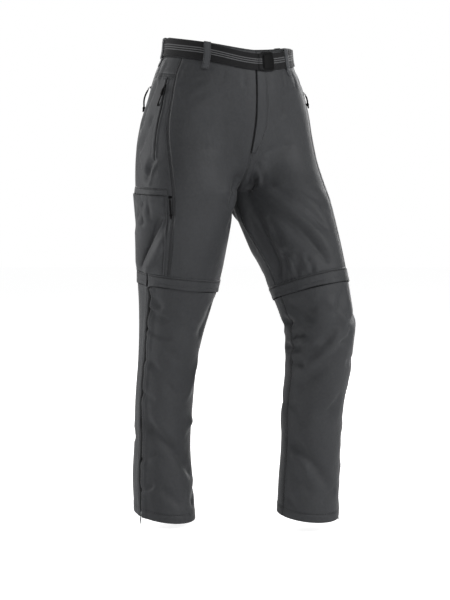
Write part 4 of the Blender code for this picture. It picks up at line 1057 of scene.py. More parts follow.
def lowerPanels(side):  # each leg's front and back, joined at the inseam, with the side zip between their lips
    top, bottom = zipOff[side] + legGap, hem[side]
    height = bottom - top
    fineDown = [(0.0, 0.004, 0.0010), (height - 0.0225, height - 0.0165, 0.0008), (height - 0.002, height, 0.0008)]
    made = {}
    for name, start, end in (("front", fixed(0.0), sideZipLines[side]), ("back", sideZipLines[side], fixed(1.0))):
        cut, front = lowerCut[name], name == "front"
        width = widthAt(side, start, end, (top + bottom) / 2)
        if front:
            fine = [(0.0, 0.010, fineMesh["fine"]), (width - 0.014, width, 0.0010)]
        else:
            fine = [(0.0, 0.014, 0.0010), (width - 0.010, width, fineMesh["fine"])]
        grid = panelGrid(side, start, end, top, bottom, fine, fineDown)
        drop, fromStart, toEnd = grid[1:4]
        zipAway, inseamAway = (toEnd, fromStart) if front else (fromStart, toEnd)
        up = bottom - drop
        hemRidge = lowerCut["hemRise"] * (1 - ease((up - lowerCut["hemHeight"]) / 0.0012))
        hemRidge = hemRidge + trench(up - lowerCut["hemHeight"] + lowerCut["hemRow"])
        below = ease((drop - top - 0.001) / 0.006)
        lift = lowerCut["lip"] * cut["high"] * (1 + 0.35 * np.sin(drop * 61.0 + 0.6) + 0.25 * np.sin(drop * 143.0))
        lip = lift * ease((zipAway - cut["lipFrom"]) / 0.0012) * (1 - ease((zipAway - 0.0070) / 0.012))
        lip = lip - 0.0009 * (1 - ease((zipAway - cut["edge"]) / 0.0014))
        out = hemRidge + lip * below + felled(inseamAway) * front + trench(zipAway - lowerCut["lipRow"]) * below
        # painted shade: dark bands beside the side zip, the inseam and the hem, and a painted shadow under the
        # zip-off flap's lower edge
        near = np.maximum(nearStitch(zipAway - 0.004) * 0.8, nearStitch(inseamAway - 0.004) * front)
        near = np.maximum(near, 0.85 * hump(up, lowerCut["hemHeight"], 0.006))
        near = np.maximum(near, 0.8 * hump(drop, top, 0.008))
        made[name] = clothPiece("lower_" + name + "_" + side, side, grid, out, near)
        drops = np.arange(top + 0.006, bottom - 0.004, 0.004)
        offset = -lowerCut["lipRow"] if front else lowerCut["lipRow"]
        besideLine(side, along(sideZipLines[side], drops), offset, drops, lowerCut["lip"] * 0.7, "lower")
        arounds = np.linspace(along(start, bottom) + 0.012, along(end, bottom) - 0.012, 90)
        hemRow = bottom - lowerCut["hemHeight"] + lowerCut["hemRow"]
        pathMarks(side, arounds, hemRow, lowerCut["hemRise"] - stitchSunk, "lower")
    drops = np.arange(top + 0.002, bottom - 0.002, 0.004)
    for offset in upperCut["felledRows"]:
        besideLine(side, 0.0, offset, drops, upperCut["felledRise"] - stitchSunk, "lower")
    return made


# Zips: a woven tape with a coil of teeth down its middle

zipCut = {
    "tapeHalf": 0.0019, "sideTapeHalf": 0.0042, "sink": -0.0002, "tape": 0.0005,
    "coilUp": 0.0013, "coilPitch": 0.00135, "coil": (0.00085, 0.0026, 0.0012),
    "partingPitch": 0.0022, "partingTooth": (0.0014, 0.0022, 0.0022),
    # half of the tape's profile: shares of its half width, and how high it stands there under the coil
    "profile": ((0.0, 0.22, 0.30, 0.6, 0.96, 1.0), (0.0009, 0.0008, 0.0004, 0.0004, 0.0004, 0.0)),
}
coilPaths = []


def lengthAlong(points):
    return np.concatenate([[0], np.cumsum(np.linalg.norm(np.diff(points, axis=0), axis=-1))])


def zipAlong(name, side, arounds, drops, half=zipCut["tapeHalf"]):  # a tape that follows a path over the cloth
    halfShares, halfRaised = (np.array(v) for v in zipCut["profile"])
    shares = np.concatenate([-halfShares[:0:-1], halfShares])
    raised = np.concatenate([halfRaised[:0:-1], halfRaised])
    points = onSheet(side, arounds, drops, 0.0)
    normal = outward(side, arounds, drops)
    across = np.cross(unit(np.gradient(points, axis=0)), normal)
    flat = points[:, None] + across[:, None] * (shares * half)[None, :, None]
    outer = flat + normal[:, None] * (zipCut["sink"] + zipCut["tape"] + raised)[None, :, None]
    inner = flat + normal[:, None] * zipCut["sink"]
    uv = np.stack(np.meshgrid(shares * half, lengthAlong(points)), -1)
    coilPaths.append((points + normal * (zipCut["sink"] + zipCut["coilUp"]), normal))
    return shell(name, outer, inner, tape, uv)


pieces = {}
for side in sides:
    for part, made in upperPanels(side).items():
        pieces[part + "_" + side] = made
    for part, made in lowerPanels(side).items():
        pieces["lower_" + part + "_" + side] = made
    pieces["zip_off_flap_" + side] = zipOffBand(side)
    drops = np.arange(hipZip["start"], hipZip["end"], 0.002)
    pieces["hip_zip_" + side] = zipAlong("hip_zip_" + side, side, along(hipZip["line"], drops), drops)
    drops = np.arange(zipOff[side] + 0.003, hem[side] - 0.004, 0.002)
    line = along(sideZipLines[side], drops)
    pieces["side_zip_" + side] = zipAlong("side_zip_" + side, side, line, drops, zipCut["sideTapeHalf"])
arounds = np.linspace(backZip["start"], backZip["end"], 60)
pieces["back_zip_right"] = zipAlong("back_zip_right", "right", arounds, 0 * arounds + backZip["drop"])
print("panels, bands and zips made")


# The zip that parts the legs: a tape all round with its teeth at the lower edge, under the flap

partingTeeth = []


def partingZip(side):
    drops = zipOff[side] - upperCut["bandTape"] + np.array([0.0, 0.003, 0.006, 0.009, 0.0105, 0.012])
    around, drop = np.meshgrid(np.linspace(0, 1, 200), drops)
    outer = onSheet(side, around, drop, 0.0)
    inner = onSheet(side, around, drop, -0.0011)
    turn = np.linspace(0.001, 0.999, 260)
    partingTeeth.append((onSheet(side, turn, zipOff[side] + 0.0002, 0.0003), outward(side, turn, zipOff[side])))
    uv = np.stack([around * clothRound["thigh"], -drop], -1)
    return shell("zip_off_zip_" + side, outer, inner, tape, uv)


for side in sides:
    pieces["zip_off_zip_" + side] = partingZip(side)


# Waistband, belt, buckle, loops

waist = {"height": 0.040, "band": 0.0021, "lip": 0.0006, "rows": (0.0025, 0.0378)}
belt = {
    "height": 0.038, "thick": 0.0021, "belowTop": 0.002, "sag": 0.006, "out": 0.0009,
    "fold": 0.022, "doubled": 1.25, "foldStep": 0.0016, "startUnder": 0.005, "endUnder": 0.003,
}
buckle = {"start": 0.026, "end": 0.094, "top": 0.004, "height": 0.043, "plate": 0.0052, "dome": 0.0024}
loops = {
    "width": 0.015, "end": 0.060, "lean": 0.010, "edgeRow": 0.74,
    "tackRows": (0.0024, 0.0034, 0.0044), "tackFacing": 0.05,
}
loopPlaces = {
    "belt_loop_front_right": -0.24, "belt_loop_front_left": 0.20,
    "belt_loop_side_right": -0.575, "belt_loop_side_left": 0.575, "belt_loop_back": 0.9999,
}


def onWaist(places, drop, out):  # places run from the centre front to the back: 0 to 1 left, 0 to -1 right
    places, drop, out = np.broadcast_arrays(*[np.asarray(v, float) for v in (places, drop, out)])
    around = np.clip(np.abs(places), 0, 1)
    return np.where((places < 0)[..., None], onSheet("right", around, drop, out), onSheet("left", around, drop, out))


def pastBack(places):  # a place past the centre back is on the other side
    return np.where(places > 1, places - 2, places)


def waistMarks(places, drop, out, facing, keep=slice(None)):  # stitches on the loops, facing as the cloth does there
    away = (onWaist(places, facing, 0.01) - onWaist(places, facing, 0.0)) / 0.01
    stitchPaths["waist"].append((onWaist(places, drop, out)[keep], away[keep]))


def beltTop(place):
    return belt["belowTop"] + belt["sag"] * ease(np.clip(1 - np.abs(place) / 0.30, 0, 1))


def makeWaistband(side):
    height = waist["height"]
    drops = height * stepsOver(height, 0.0028, [(0.0, 0.004, 0.0008), (height - 0.004, height, 0.0008)])
    around, drop = np.meshgrid(np.linspace(0.0004, 0.9996, 180), drops)
    fold = 0.0007 * ease(drop / 0.0012)
    out = waist["lip"] - 0.0007 + fold + sum(trench(drop - at) * 0.8 for at in waist["rows"])
    inner = out - waist["band"] + 0.0006 * (1 - ease(drop / 0.0012))
    near = np.maximum(hump(drop, 0.0, 0.004), hump(drop, height, 0.004))
    for at in waist["rows"]:
        pathMarks(side, np.linspace(0.004, 0.996, 150), at, waist["lip"] - 0.0002, "waist")
    uv = np.stack([around * clothRound["waist"], -drop], -1)
    return clothSheet("waistband_" + side, side, around, drop, out, inner, uv, near)


def makeBelt():  # one strap from the buckle round the back to the buckle again, folded back at both ends
    start, end = buckle["end"] - belt["startUnder"], 2 + buckle["start"] + belt["endUnder"]
    turn = np.linspace(start, end, 620)
    places = pastBack(turn)
    places = np.where(np.abs(places) < 0.0005, 0.0005, places)
    firstFold = 1 - ease((turn - start - belt["fold"]) / belt["foldStep"])
    doubled = np.maximum(firstFold, ease((turn - end + belt["fold"]) / belt["foldStep"]))
    shares = np.concatenate([[0, 0.006, 0.02, 0.05], np.linspace(0.09, 0.91, 22), [0.95, 0.98, 0.994, 1]])
    edge = np.clip(np.minimum(shares, 1 - shares) / 0.02, 0, 1)
    rounded = np.sqrt(1 - (1 - edge) ** 2)
    selvedge = 0.0003 * hump(np.minimum(shares, 1 - shares), 0.035, 0.02)
    thick = belt["thick"] * (1 + belt["doubled"] * doubled)
    drop = beltTop(places)[None, :] + belt["height"] * shares[:, None]
    middle = belt["out"] + thick[None, :] / 2
    half = thick[None, :] / 2 * (0.35 + 0.65 * rounded[:, None])
    slack = 0.0004 * np.sin(turn * 23.0)[None, :] ** 2
    outer = onWaist(places[None, :] + 0 * drop, drop, middle + half + selvedge[:, None] + slack)
    inner = onWaist(places[None, :] + 0 * drop, drop, middle - half)
    uv = np.stack(np.meshgrid(lengthAlong(outer[15]), (shares - 0.5) * belt["height"]), -1)
    return shell("belt", outer, inner, webbing, uv)


def makeBuckle():  # a plate of hard plastic with a frame, a bar and two side catches
    places = np.linspace(buckle["start"], buckle["end"], 74)
    shares = np.linspace(0, 1, 62)
    x = np.linspace(-1, 1, 74)[None, :]
    y = np.linspace(-1, 1, 62)[:, None]
    corner = np.clip(1 - ((np.abs(x) ** 5 + np.abs(y) ** 5) ** 0.2), 0, 1)
    rise = buckle["plate"] + buckle["dome"] * np.sqrt(np.clip(corner / 0.22, 0, 1)) * (1 - 0.25 * x * x)
    rise = rise - 0.0007 * ease((0.70 - np.abs(x)) / 0.05) * ease((0.74 - np.abs(y)) / 0.05)
    sideGrooves = hump(np.abs(x), 0.74, 0.022) * (np.abs(y) < 0.8)
    endGrooves = hump(np.abs(y), 0.80, 0.022) * (np.abs(x) < 0.74)
    rise = rise - 0.0008 * np.maximum(sideGrooves, endGrooves)
    catch = ease((np.abs(y) - 0.30) / 0.06) * ease((0.72 - np.abs(y)) / 0.06) * ease((np.abs(x) - 0.80) / 0.05)
    rise = rise - 0.0007 * catch * (1 + 0.5 * np.sin(y * 60.0))
    drop = buckle["top"] + buckle["height"] * shares[:, None] + 0 * x
    cut = 0.0026 * np.clip((np.abs(y) - 0.86) / 0.14, 0, 1) ** 2
    rounded = places[None, :] - np.sign(x) * cut / clothRound["waist"] * (np.abs(x) ** 6)
    outer = onWaist(rounded, drop, belt["out"] + rise - 0.0004)
    inner = onWaist(rounded, drop, belt["out"] + 0.0002 + 0 * rise)
    edge = np.clip(1 - corner / 0.10, 0, 1)
    return shell("buckle", outer, inner, plastic, None, {"edgeNear": edge})


def makeLoop(name, place):  # a strip of doubled cloth over the belt, held by a bar tack at its foot
    over = belt["out"] + belt["thick"] + 0.0006
    below = float(beltTop(np.array(place))) + belt["height"]
    rows = table(
        "drop inner outer",
        [
            (-0.0015, -0.0010, 0.0028), (-0.0010, -0.0010, 0.0036), (-0.0004, -0.0010, 0.0044),
            (-0.0003, over, over + 0.0012), (0.0100, over, over + 0.0013), (0.0250, over, over + 0.0013),
            (below + 0.0005, over, over + 0.0012), (below + 0.0035, 0.0018, 0.0032),
            (below + 0.0060, 0.0005, 0.0018),
            (loops["end"] - 0.0040, 0.0005, 0.0017), (loops["end"], 0.0004, 0.0016),
        ],
    )
    drop = np.unique(np.concatenate([rows["drop"], np.arange(0.002, loops["end"], 0.0022)]))
    across = np.linspace(-1, 1, 17)
    lean = loops["lean"] if name == "belt_loop_front_left" else 0.0
    middle = np.sign(place) * (abs(place) + lean * np.clip(drop, 0, 1) / loops["end"] * np.sign(place))
    around = np.full_like(drop, min(abs(place), 0.98))
    half = loops["width"] / 2 / perAround("left", around, np.maximum(drop, 0.0))
    places = pastBack(middle[:, None] + half[:, None] * across[None, :])
    inner, outer = (np.interp(drop, rows["drop"], rows[k])[:, None] for k in ("inner", "outer"))
    outer = outer + 0.0003 * (1 - np.abs(across) ** 6) - 0.0004 * hump(np.abs(across), loops["edgeRow"], 0.10)
    outer = outer - 0.0005 * hump(drop, loops["end"] - 0.003, 0.0012)[:, None]
    drops = drop[:, None] + 0 * places
    uv = np.stack([across[None, :] * loops["width"] / 2 + 0 * places, -drops], -1)
    # painted shade: a dark outline along the loop's edges and at its foot
    near = np.maximum(hump(np.abs(across), 0.8, 0.25)[None, :], hump(drop, loops["end"], 0.006)[:, None])
    outer, inner = onWaist(places, drops, outer), onWaist(places, drops, inner)
    made = shell(name, outer, inner, loopNylon, uv, {"seamNear": near})
    for share in (-loops["edgeRow"], loops["edgeRow"]):
        track = pastBack(np.where(middle > 0.985, 0.9999, middle) + half * share)
        lift = np.interp(drop, rows["drop"], rows["outer"]) + 0.0001
        waistMarks(track, drop, lift, drop, (drop > 0.001) & (drop < loops["end"] - 0.003))
    for up in loops["tackRows"]:
        row = pastBack(middle[-1] + half[-1] * np.linspace(-0.8, 0.8, 20))
        waistMarks(row, loops["end"] - up, 0.0016, loops["tackFacing"])
    return made


def makeFly():  # the left front's facing laps over the right, held by a curved double row
    drop = np.arange(buckle["top"] + buckle["height"] + 0.0008, fly["end"], 0.0024)
    width = fly["width"] * np.sqrt(np.clip((fly["end"] + 0.004 - drop) / 0.06, 0, 1))
    first = 0.0003 / perAround("left", np.full_like(drop, 0.011), drop)
    shares = [0.78, 0.80, 0.82, 0.86, 0.91, 0.93, 0.95, 0.98, 1.0]  # closer together near the rows of stitches
    shares = np.concatenate([[0, 0.01, 0.03, 0.06], np.linspace(0.1, 0.76, 16), shares])
    around = first[:, None] + width[:, None] * shares[None, :]
    drops = drop[:, None] + 0 * around
    lap = 0.0019 * np.sqrt(np.clip(shares / 0.03, 0.05, 1)) * (1 - 0.55 * ease((shares - 0.1) / 0.65))
    lap = lap * (1 - 0.5 * ease((shares - 0.94) / 0.06))
    lap = lap - 0.0005 * sum(hump(shares, at, 0.02) for at in fly["rows"])
    out = 0.0003 + lap[None, :] + 0 * around
    uv = np.stack([around * clothRound["thigh"], -drops], -1)
    near = 0.70 * hump(shares, 0.86, 0.14)[None, :] + 0 * around
    clear = drop > buckle["top"] + buckle["height"] + 0.002
    for share in fly["rows"]:
        pathMarks("left", (first + width * share)[clear], drop[clear], 0.0011)
    return clothSheet("fly_placket", "left", around, drops, out, 0.0004, uv, near)


cargo = {
    "top": 0.337, "front": 0.388, "back": 0.605, "wide": 0.125, "fullness": 0.0075, "cloth": 0.0014,
    "slider": 0.3765, "rows": (0.035, 0.965), "gather": 0.0007,
    # each gather: share across, half width and strength
    "gathers": ((0.30, 0.03, 1.0), (0.44, 0.025, 1.0), (0.60, 0.03, 0.8), (0.78, 0.03, 1.0)),
    # the deep diagonal fold, from a place across and down to another, with its ridge and trough
    "from": (0.004, 0.050), "to": (0.058, 0.166), "bow": 0.003,
    "ridge": (0.0036, 0.0045), "trough": (0.0085, 0.0095, 0.0070),
}
welt = {"high": 0.0154, "above": 0.016, "cloth": 0.0016, "lift": 0.0014, "bulge": 0.0040, "row": 0.0028}


def cargoFold(across, down):  # height of the diagonal fold, and where it holds
    ax, ay = across - cargo["from"][0], down - cargo["from"][1]
    bx, by = (end - start for start, end in zip(cargo["from"], cargo["to"]))
    t = (ax * bx + ay * by) / (bx * bx + by * by)
    off = (ax * by - ay * bx) / math.hypot(bx, by) + cargo["bow"] * np.sin(math.pi * np.clip(t, 0, 1))
    hold = ease((t + 0.05) / 0.2) * ease((1.12 - t) / 0.2)
    ridge, ridgeHalf = cargo["ridge"]
    trough, troughAt, troughHalf = cargo["trough"]
    return (ridge * hump(off, 0, ridgeHalf) - trough * hump(off, troughAt, troughHalf)) * hold, hold


def makeCargo():  # a bellows pocket on the right thigh
    start, wide = cargo["front"], cargo["back"] - cargo["front"]
    end = zipOff["right"] - upperCut["bandHeight"] - 0.0006
    arounds, drops = np.linspace(start, cargo["back"], 72), np.linspace(cargo["top"], end, 96)
    around, drop = np.meshgrid(arounds, drops)
    across = (around - start) / wide
    down = (drop - cargo["top"]) / (end - cargo["top"])
    edge = np.minimum(across, 1 - across)
    full = cargo["fullness"] * np.sin(math.pi * across) ** 0.8 * (1 - 0.8 * down) ** 0.5 * ease((1 - down) / 0.12)
    gathers = cargo["gather"] * sum(strength * hump(across, at, half) for at, half, strength in cargo["gathers"])
    gathers = gathers * (1 - ease((down - 0.05) / 0.4))
    diagonal, hold = cargoFold(across * cargo["wide"], drop - cargo["top"])
    out = 0.0008 + full - gathers + 0.0014 * ease(edge / 0.012) + trench((edge - cargo["rows"][0]) * cargo["wide"])
    out = np.maximum(out + diagonal, 0.0016 + 0.0004 * hold)
    near = np.maximum(hump(edge, 0.03, 0.03), hump(down, 0, 0.03))
    uv = np.stack([across * cargo["wide"], -drop], -1)
    drops = np.arange(cargo["top"] + 0.004, end - 0.002, 0.004)
    for share in cargo["rows"]:
        pathMarks("right", 0 * drops + start + share * wide, drops, 0.0024)
    inner = np.maximum(out - cargo["cloth"], 0.0005)
    return clothSheet("cargo_pocket", "right", around, drop, out, inner, uv, near)


def makeWelt():  # the stiff welt over the cargo pocket's zip
    start, wide, high = cargo["front"], cargo["back"] - cargo["front"], welt["high"]
    shares = np.linspace(0.0, 1.0, 90)
    fine = [(0.0, 0.003, 0.0006), (0.013, high, 0.0006)]
    drops = cargo["top"] - welt["above"] + high * stepsOver(high, 0.0015, fine)
    around, drop = np.meshgrid(start + wide * shares, drops)
    low = (drop - drops[0]) / high
    out = welt["lift"] + welt["bulge"] * low * np.sin(math.pi * shares)[None, :]
    out = 0.0006 + out * np.sqrt(np.clip(low / 0.08, 0.02, 1)) + trench(drop - drops[0] - welt["row"])
    uv = np.stack([(around - 0.5) * clothRound["pocket"], -drop], -1)
    near = np.maximum(hump(low, 0.15, 0.2), hump(low, 1.0, 0.2))
    pathMarks("right", np.linspace(start + 0.004, cargo["back"] - 0.004, 60), drops[0] + welt["row"], 0.0022)
    inner = np.maximum(out - welt["cloth"], 0.0004)
    return clothSheet("cargo_welt", "right", around, drop, out, inner, uv, near)


for side in sides:
    pieces["waistband_" + side] = makeWaistband(side)
pieces["belt"] = makeBelt()
pieces["buckle"] = makeBuckle()
for name, place in loopPlaces.items():
    pieces[name] = makeLoop(name, place)
pieces["fly_placket"] = makeFly()
pieces["cargo_pocket"] = makeCargo()
pieces["cargo_welt"] = makeWelt()
print("waist, fly and cargo pocket made")


# Stitches and zip teeth repeat along paths by Geometry Nodes


def makeRepeatTree():
    tree = bpy.data.node_groups.new("repeatAlongPaths", "GeometryNodeTree")
    tree.interface.new_socket(name="Geometry", in_out="INPUT", socket_type="NodeSocketGeometry")
    for label, value in (("Spacing", 0.003), ("Length", 0.002), ("Width", 0.0005), ("Height", 0.0004)):
        tree.interface.new_socket(name=label, in_out="INPUT", socket_type="NodeSocketFloat").default_value = value
    tree.interface.new_socket(name="Finish", in_out="INPUT", socket_type="NodeSocketMaterial")
    tree.interface.new_socket(name="Geometry", in_out="OUTPUT", socket_type="NodeSocketGeometry")
    new, link = tree.nodes.new, tree.links.new
    start, end = new("NodeGroupInput"), new("NodeGroupOutput")
    curve, spaced = new("GeometryNodeMeshToCurve"), new("GeometryNodeResampleCurve")
    onPoints = new("GeometryNodeInstanceOnPoints")
    spaced.mode = "LENGTH"
    grain, scaled = new("GeometryNodeMeshIcoSphere"), new("GeometryNodeTransform")
    grain.inputs["Radius"].default_value = 0.5
    grain.inputs["Subdivisions"].default_value = 1
    size = new("ShaderNodeCombineXYZ")
    normal, tangent = new("GeometryNodeInputNamedAttribute"), new("GeometryNodeInputTangent")
    normal.data_type = "FLOAT_VECTOR"
    normal.inputs["Name"].default_value = "outward"
    upright, turned = (new("FunctionNodeAlignRotationToVector") for _ in range(2))
    upright.axis, turned.axis, turned.pivot_axis = "Z", "X", "Z"
    real, shaded = new("GeometryNodeRealizeInstances"), new("GeometryNodeSetShadeSmooth")
    painted = new("GeometryNodeSetMaterial")
    link(start.outputs["Geometry"], curve.inputs["Mesh"])
    link(curve.outputs["Curve"], spaced.inputs["Curve"])
    link(start.outputs["Spacing"], spaced.inputs["Length"])
    link(spaced.outputs["Curve"], onPoints.inputs["Points"])
    for k, label in enumerate(("Length", "Width", "Height")):
        link(start.outputs[label], size.inputs[k])
    link(grain.outputs["Mesh"], scaled.inputs["Geometry"])
    link(size.outputs[0], scaled.inputs["Scale"])
    link(scaled.outputs["Geometry"], onPoints.inputs["Instance"])
    link(normal.outputs["Attribute"], upright.inputs["Vector"])
    link(upright.outputs["Rotation"], turned.inputs["Rotation"])
    link(tangent.outputs["Tangent"], turned.inputs["Vector"])
    link(turned.outputs["Rotation"], onPoints.inputs["Rotation"])
    link(onPoints.outputs["Instances"], real.inputs["Geometry"])
    link(real.outputs["Geometry"], shaded.inputs["Geometry"])
    link(shaded.outputs["Geometry"], painted.inputs["Geometry"])
    link(start.outputs["Finish"], painted.inputs["Material"])
    link(painted.outputs["Geometry"], end.inputs["Geometry"])
    return tree


repeatTree = makeRepeatTree()


def repeatAlong(name, paths, spacing, size, finish):  # one joined mesh of small rounded grains along the paths
    mesh = bpy.data.meshes.new(name)
    points = np.concatenate([p for p, n in paths])
    normals = np.concatenate([n for p, n in paths])
    edges, count = [], 0
    for p, n in paths:
        edges += [(count + k, count + k + 1) for k in range(len(p) - 1)]
        count += len(p)
    mesh.from_pydata(points.tolist(), edges, [])
    mesh.attributes.new("outward", "FLOAT_VECTOR", "POINT").data.foreach_set("vector", normals.ravel())
    made = bpy.data.objects.new(name, mesh)
    bpy.context.scene.collection.objects.link(made)
    modifier = made.modifiers.new("repeat", "NODES")
    modifier.node_group = repeatTree
    sockets = {s.name: s.identifier for s in repeatTree.interface.items_tree if s.in_out == "INPUT"}
    for label, value in zip(("Spacing", "Length", "Width", "Height", "Finish"), (spacing, *size, finish)):
        modifier[sockets[label]] = value
    result = bpy.data.meshes.new_from_object(made.evaluated_get(bpy.context.evaluated_depsgraph_get()))
    made.modifiers.clear()
    made.data = result
    return made


stitch = {"pitch": 0.0031, "size": (0.0026, 0.00080, 0.00050)}
extras = []
for place, paths in stitchPaths.items():
    rows = repeatAlong("stitches_" + place, paths, stitch["pitch"], stitch["size"], thread)
    extras.append((rows, "dark_grey_nylon"))
for name, paths, kind in (("zip_teeth", coilPaths, "coil"), ("parting_teeth", partingTeeth, "parting")):
    size = zipCut["coil"] if kind == "coil" else zipCut["partingTooth"]
    extras.append((repeatAlong(name, paths, zipCut[kind + "Pitch"], size, coilPlastic), "black_plastic"))
print("stitches and teeth made")


# Sliders and their pulls

sliderCut = {
    "width": 0.0062, "length": 0.0088, "height": 0.0023,
    "bridgeHalf": 0.0030, "bridgeHigh": 0.0021, "bridgeWire": 0.00055,
}
pullCut = {"cord": 0.0019, "knob": 0.0122, "eye": (0.0012, 0.0005), "ring": (0.0016, 0.00045)}
tabCut = {"size": (0.0038, 0.0200, 0.0010), "hole": 0.00095, "holeAt": 0.78, "corners": 40}
hinges = {j["child"]: (Vector(j["pos_m"]), Vector(j["axis"]).normalized()) for j in frame["joints"]}


def ringFaces(rows, corners, closed=False):  # quads from ring to ring, with a fan at each end unless closed
    faces = []
    for j in range(rows if closed else rows - 1):
        a, b = j * corners, (j + 1) % rows * corners
        faces += [(a + k, a + (k + 1) % corners, b + (k + 1) % corners, b + k) for k in range(corners)]
    if closed:
        return faces
    last, count = (rows - 1) * corners, rows * corners
    for k in range(corners):
        after = (k + 1) % corners
        faces += [(k, count, after), (last + k, last + after, count + 1)]
    return faces


def squarish(angle, power, width, length):  # an outline between an ellipse and a rectangle
    c, s = np.cos(angle), np.sin(angle)
    return np.sign(c) * np.abs(c) ** power * width / 2, np.sign(s) * np.abs(s) ** power * length / 2


def tube(points, radii, corners, flat=1.0):  # a round tube along points, closed at both ends
    points = np.asarray(points, float)
    radii = np.broadcast_to(np.asarray(radii, float), len(points))
    way = unit(np.gradient(points, axis=0))
    turned = unit(np.cross(way[0], [0.3, 0.8, 0.52]))
    angle = np.linspace(0, 2 * math.pi, corners, endpoint=False)[:, None]
    rings = []
    for p, w, r in zip(points, way, radii):
        turned = unit(turned - w * turned.dot(w))
        rings.append(p + r * (np.cos(angle) * turned + flat * np.sin(angle) * np.cross(w, turned)))
    first = points[:1] - way[:1] * radii[0] * 0.5
    last = points[-1:] + way[-1:] * radii[-1] * 0.5
    return np.concatenate(rings + [first, last]), ringFaces(len(points), corners)


def joinShapes(shapes):
    verts, faces, count = [], [], 0
    for v, f in shapes:
        verts.append(np.asarray(v))
        faces += [tuple(i + count for i in face) for face in f]
        count += len(v)
    return np.concatenate(verts), faces


def outwardFaces(name, verts, faces, finish):
    made = meshPiece(name, verts, faces, finish, None, {"edgeNear": np.zeros(len(verts))})
    bm = bmesh.new()
    bm.from_mesh(made.data)
    bmesh.ops.recalc_face_normals(bm, faces=bm.faces)
    bm.to_mesh(made.data)
    bm.free()
    return made


def nodePoints(name):
    mesh = frame["nodes"][name].data
    found = np.empty(len(mesh.vertices) * 3)
    mesh.vertices.foreach_get("co", found)
    return found.reshape(-1, 3)


def roundedPlate(width, length, height, taper):  # a plate with a rounded outline and a soft rim
    angle = np.linspace(0, 2 * math.pi, 28, endpoint=False)
    x, y = squarish(angle, 0.55, width, length)
    x = x * (1 - taper * (y / length + 0.5))
    rims = ((0.0, 0.0003), (0.0003, 0.0), (height - 0.0004, 0.0), (height - 0.0001, 0.0002), (height, 0.0006))
    rings = []
    for z, inset in rims:
        k = 1 - inset / (width / 2)
        rings.append(np.stack([x * k, y * k, 0 * x + z], -1))
    return np.concatenate(rings + [[[0, 0, 0]], [[0, 0, height]]]), ringFaces(len(rims), len(angle))


def makeSlider(name, side, around, drop, out, finish, lengthwise=True):  # body, lid and bridge
    point = onSheet(side, around, drop, out)
    up = outward(side, around, drop)
    down = onSheet(side, around, drop + 0.004, out) - onSheet(side, around, drop - 0.004, out)
    down = unit(down - up * down.dot(up))
    way = down if lengthwise else -np.cross(down, up)
    cut = sliderCut
    base, faces = roundedPlate(cut["width"], cut["length"], cut["height"] * 0.55, 0.28)
    lid, lidFaces = roundedPlate(cut["width"] * 0.62, cut["length"] * 0.86, cut["height"] * 0.4, 0.1)
    lid = lid + [0, 0, cut["height"] * 0.52]
    arch = np.linspace(0.05, math.pi - 0.05, 13)
    bridgeY, bridgeZ = cut["bridgeHalf"] * np.cos(arch) + 0.0004, cut["bridgeHigh"] * np.sin(arch)
    bridge = tube(np.stack([0 * arch, bridgeY, cut["height"] * 0.8 + bridgeZ], -1), cut["bridgeWire"], 8)
    verts, faces = joinShapes([(base, faces), (lid, lidFaces), bridge])
    verts = point + verts[:, :1] * np.cross(way, up) + verts[:, 1:2] * way + verts[:, 2:] * up
    return outwardFaces(name, verts, faces, finish)


def pullFrame(name):  # where a pull hangs, its length, the way it lies, and the hinge's axis
    start, axis = (np.array(v) for v in hinges[name])
    points = nodePoints(name)
    far = points[np.argsort(-np.linalg.norm(points - start, axis=1))[:8]].mean(0)
    return start, np.linalg.norm(far - start), unit(far - start), axis


def wireRing(centre, radius, wire, lie, up, turns):  # a ring of wire through the slider's bridge
    turn = np.linspace(0, 2 * math.pi, turns)[:, None]
    return tube(centre + lie * 0.0006 + radius * (np.cos(turn) * lie + np.sin(turn) * up), wire, 8)


knobShape = (  # share of the knob's length, radius
    (0, 0.0014), (0.08, 0.0025), (0.16, 0.0031), (0.30, 0.0032), (0.42, 0.0030),
    (0.52, 0.0022), (0.70, 0.0019), (0.90, 0.0017), (1.0, 0.0010),
)


def makeCordPull(name, bow=0.0015, beads=0.0):  # a twisted cord with a moulded knob
    start, length, lie, axis = pullFrame(name)
    up = np.cross(axis, lie)
    t = np.linspace(0, 1, 70)
    reach = 0.0022 + (length - pullCut["knob"]) * t
    track = start + lie * reach[:, None] + up * (bow * np.sin(math.pi * t))[:, None]
    radius = pullCut["cord"] * np.interp(t, [0, 0.12], [0.45, 1]) * (1 + 0.10 * np.sin(t * 150))
    cord = tube(track, radius + beads * np.maximum(np.sin(t * 62), 0) ** 2, 10)
    k = np.linspace(0, 1, 26)
    shape = np.interp(k, *zip(*knobShape)) * (1 + 0.05 * np.sin(k * 70))
    knob = tube(start + lie * (length - pullCut["knob"] + 0.0125 * k)[:, None], shape, 18)
    verts, faces = joinShapes([wireRing(start, *pullCut["eye"], lie, up, 20), cord, knob])
    return outwardFaces(name, verts, faces, plastic)


gripShape = {  # distance from the start or from the end, radius
    "start": (
        (0, 0.0010), (0.0025, 0.0014), (0.0045, 0.0023), (0.0065, 0.0028),
        (0.016, 0.0029), (0.0185, 0.0020), (0.020, 0.0013),
    ),
    "end": ((-0.008, 0.0013), (-0.006, 0.0019), (-0.002, 0.0020), (0, 0.0011)),
}


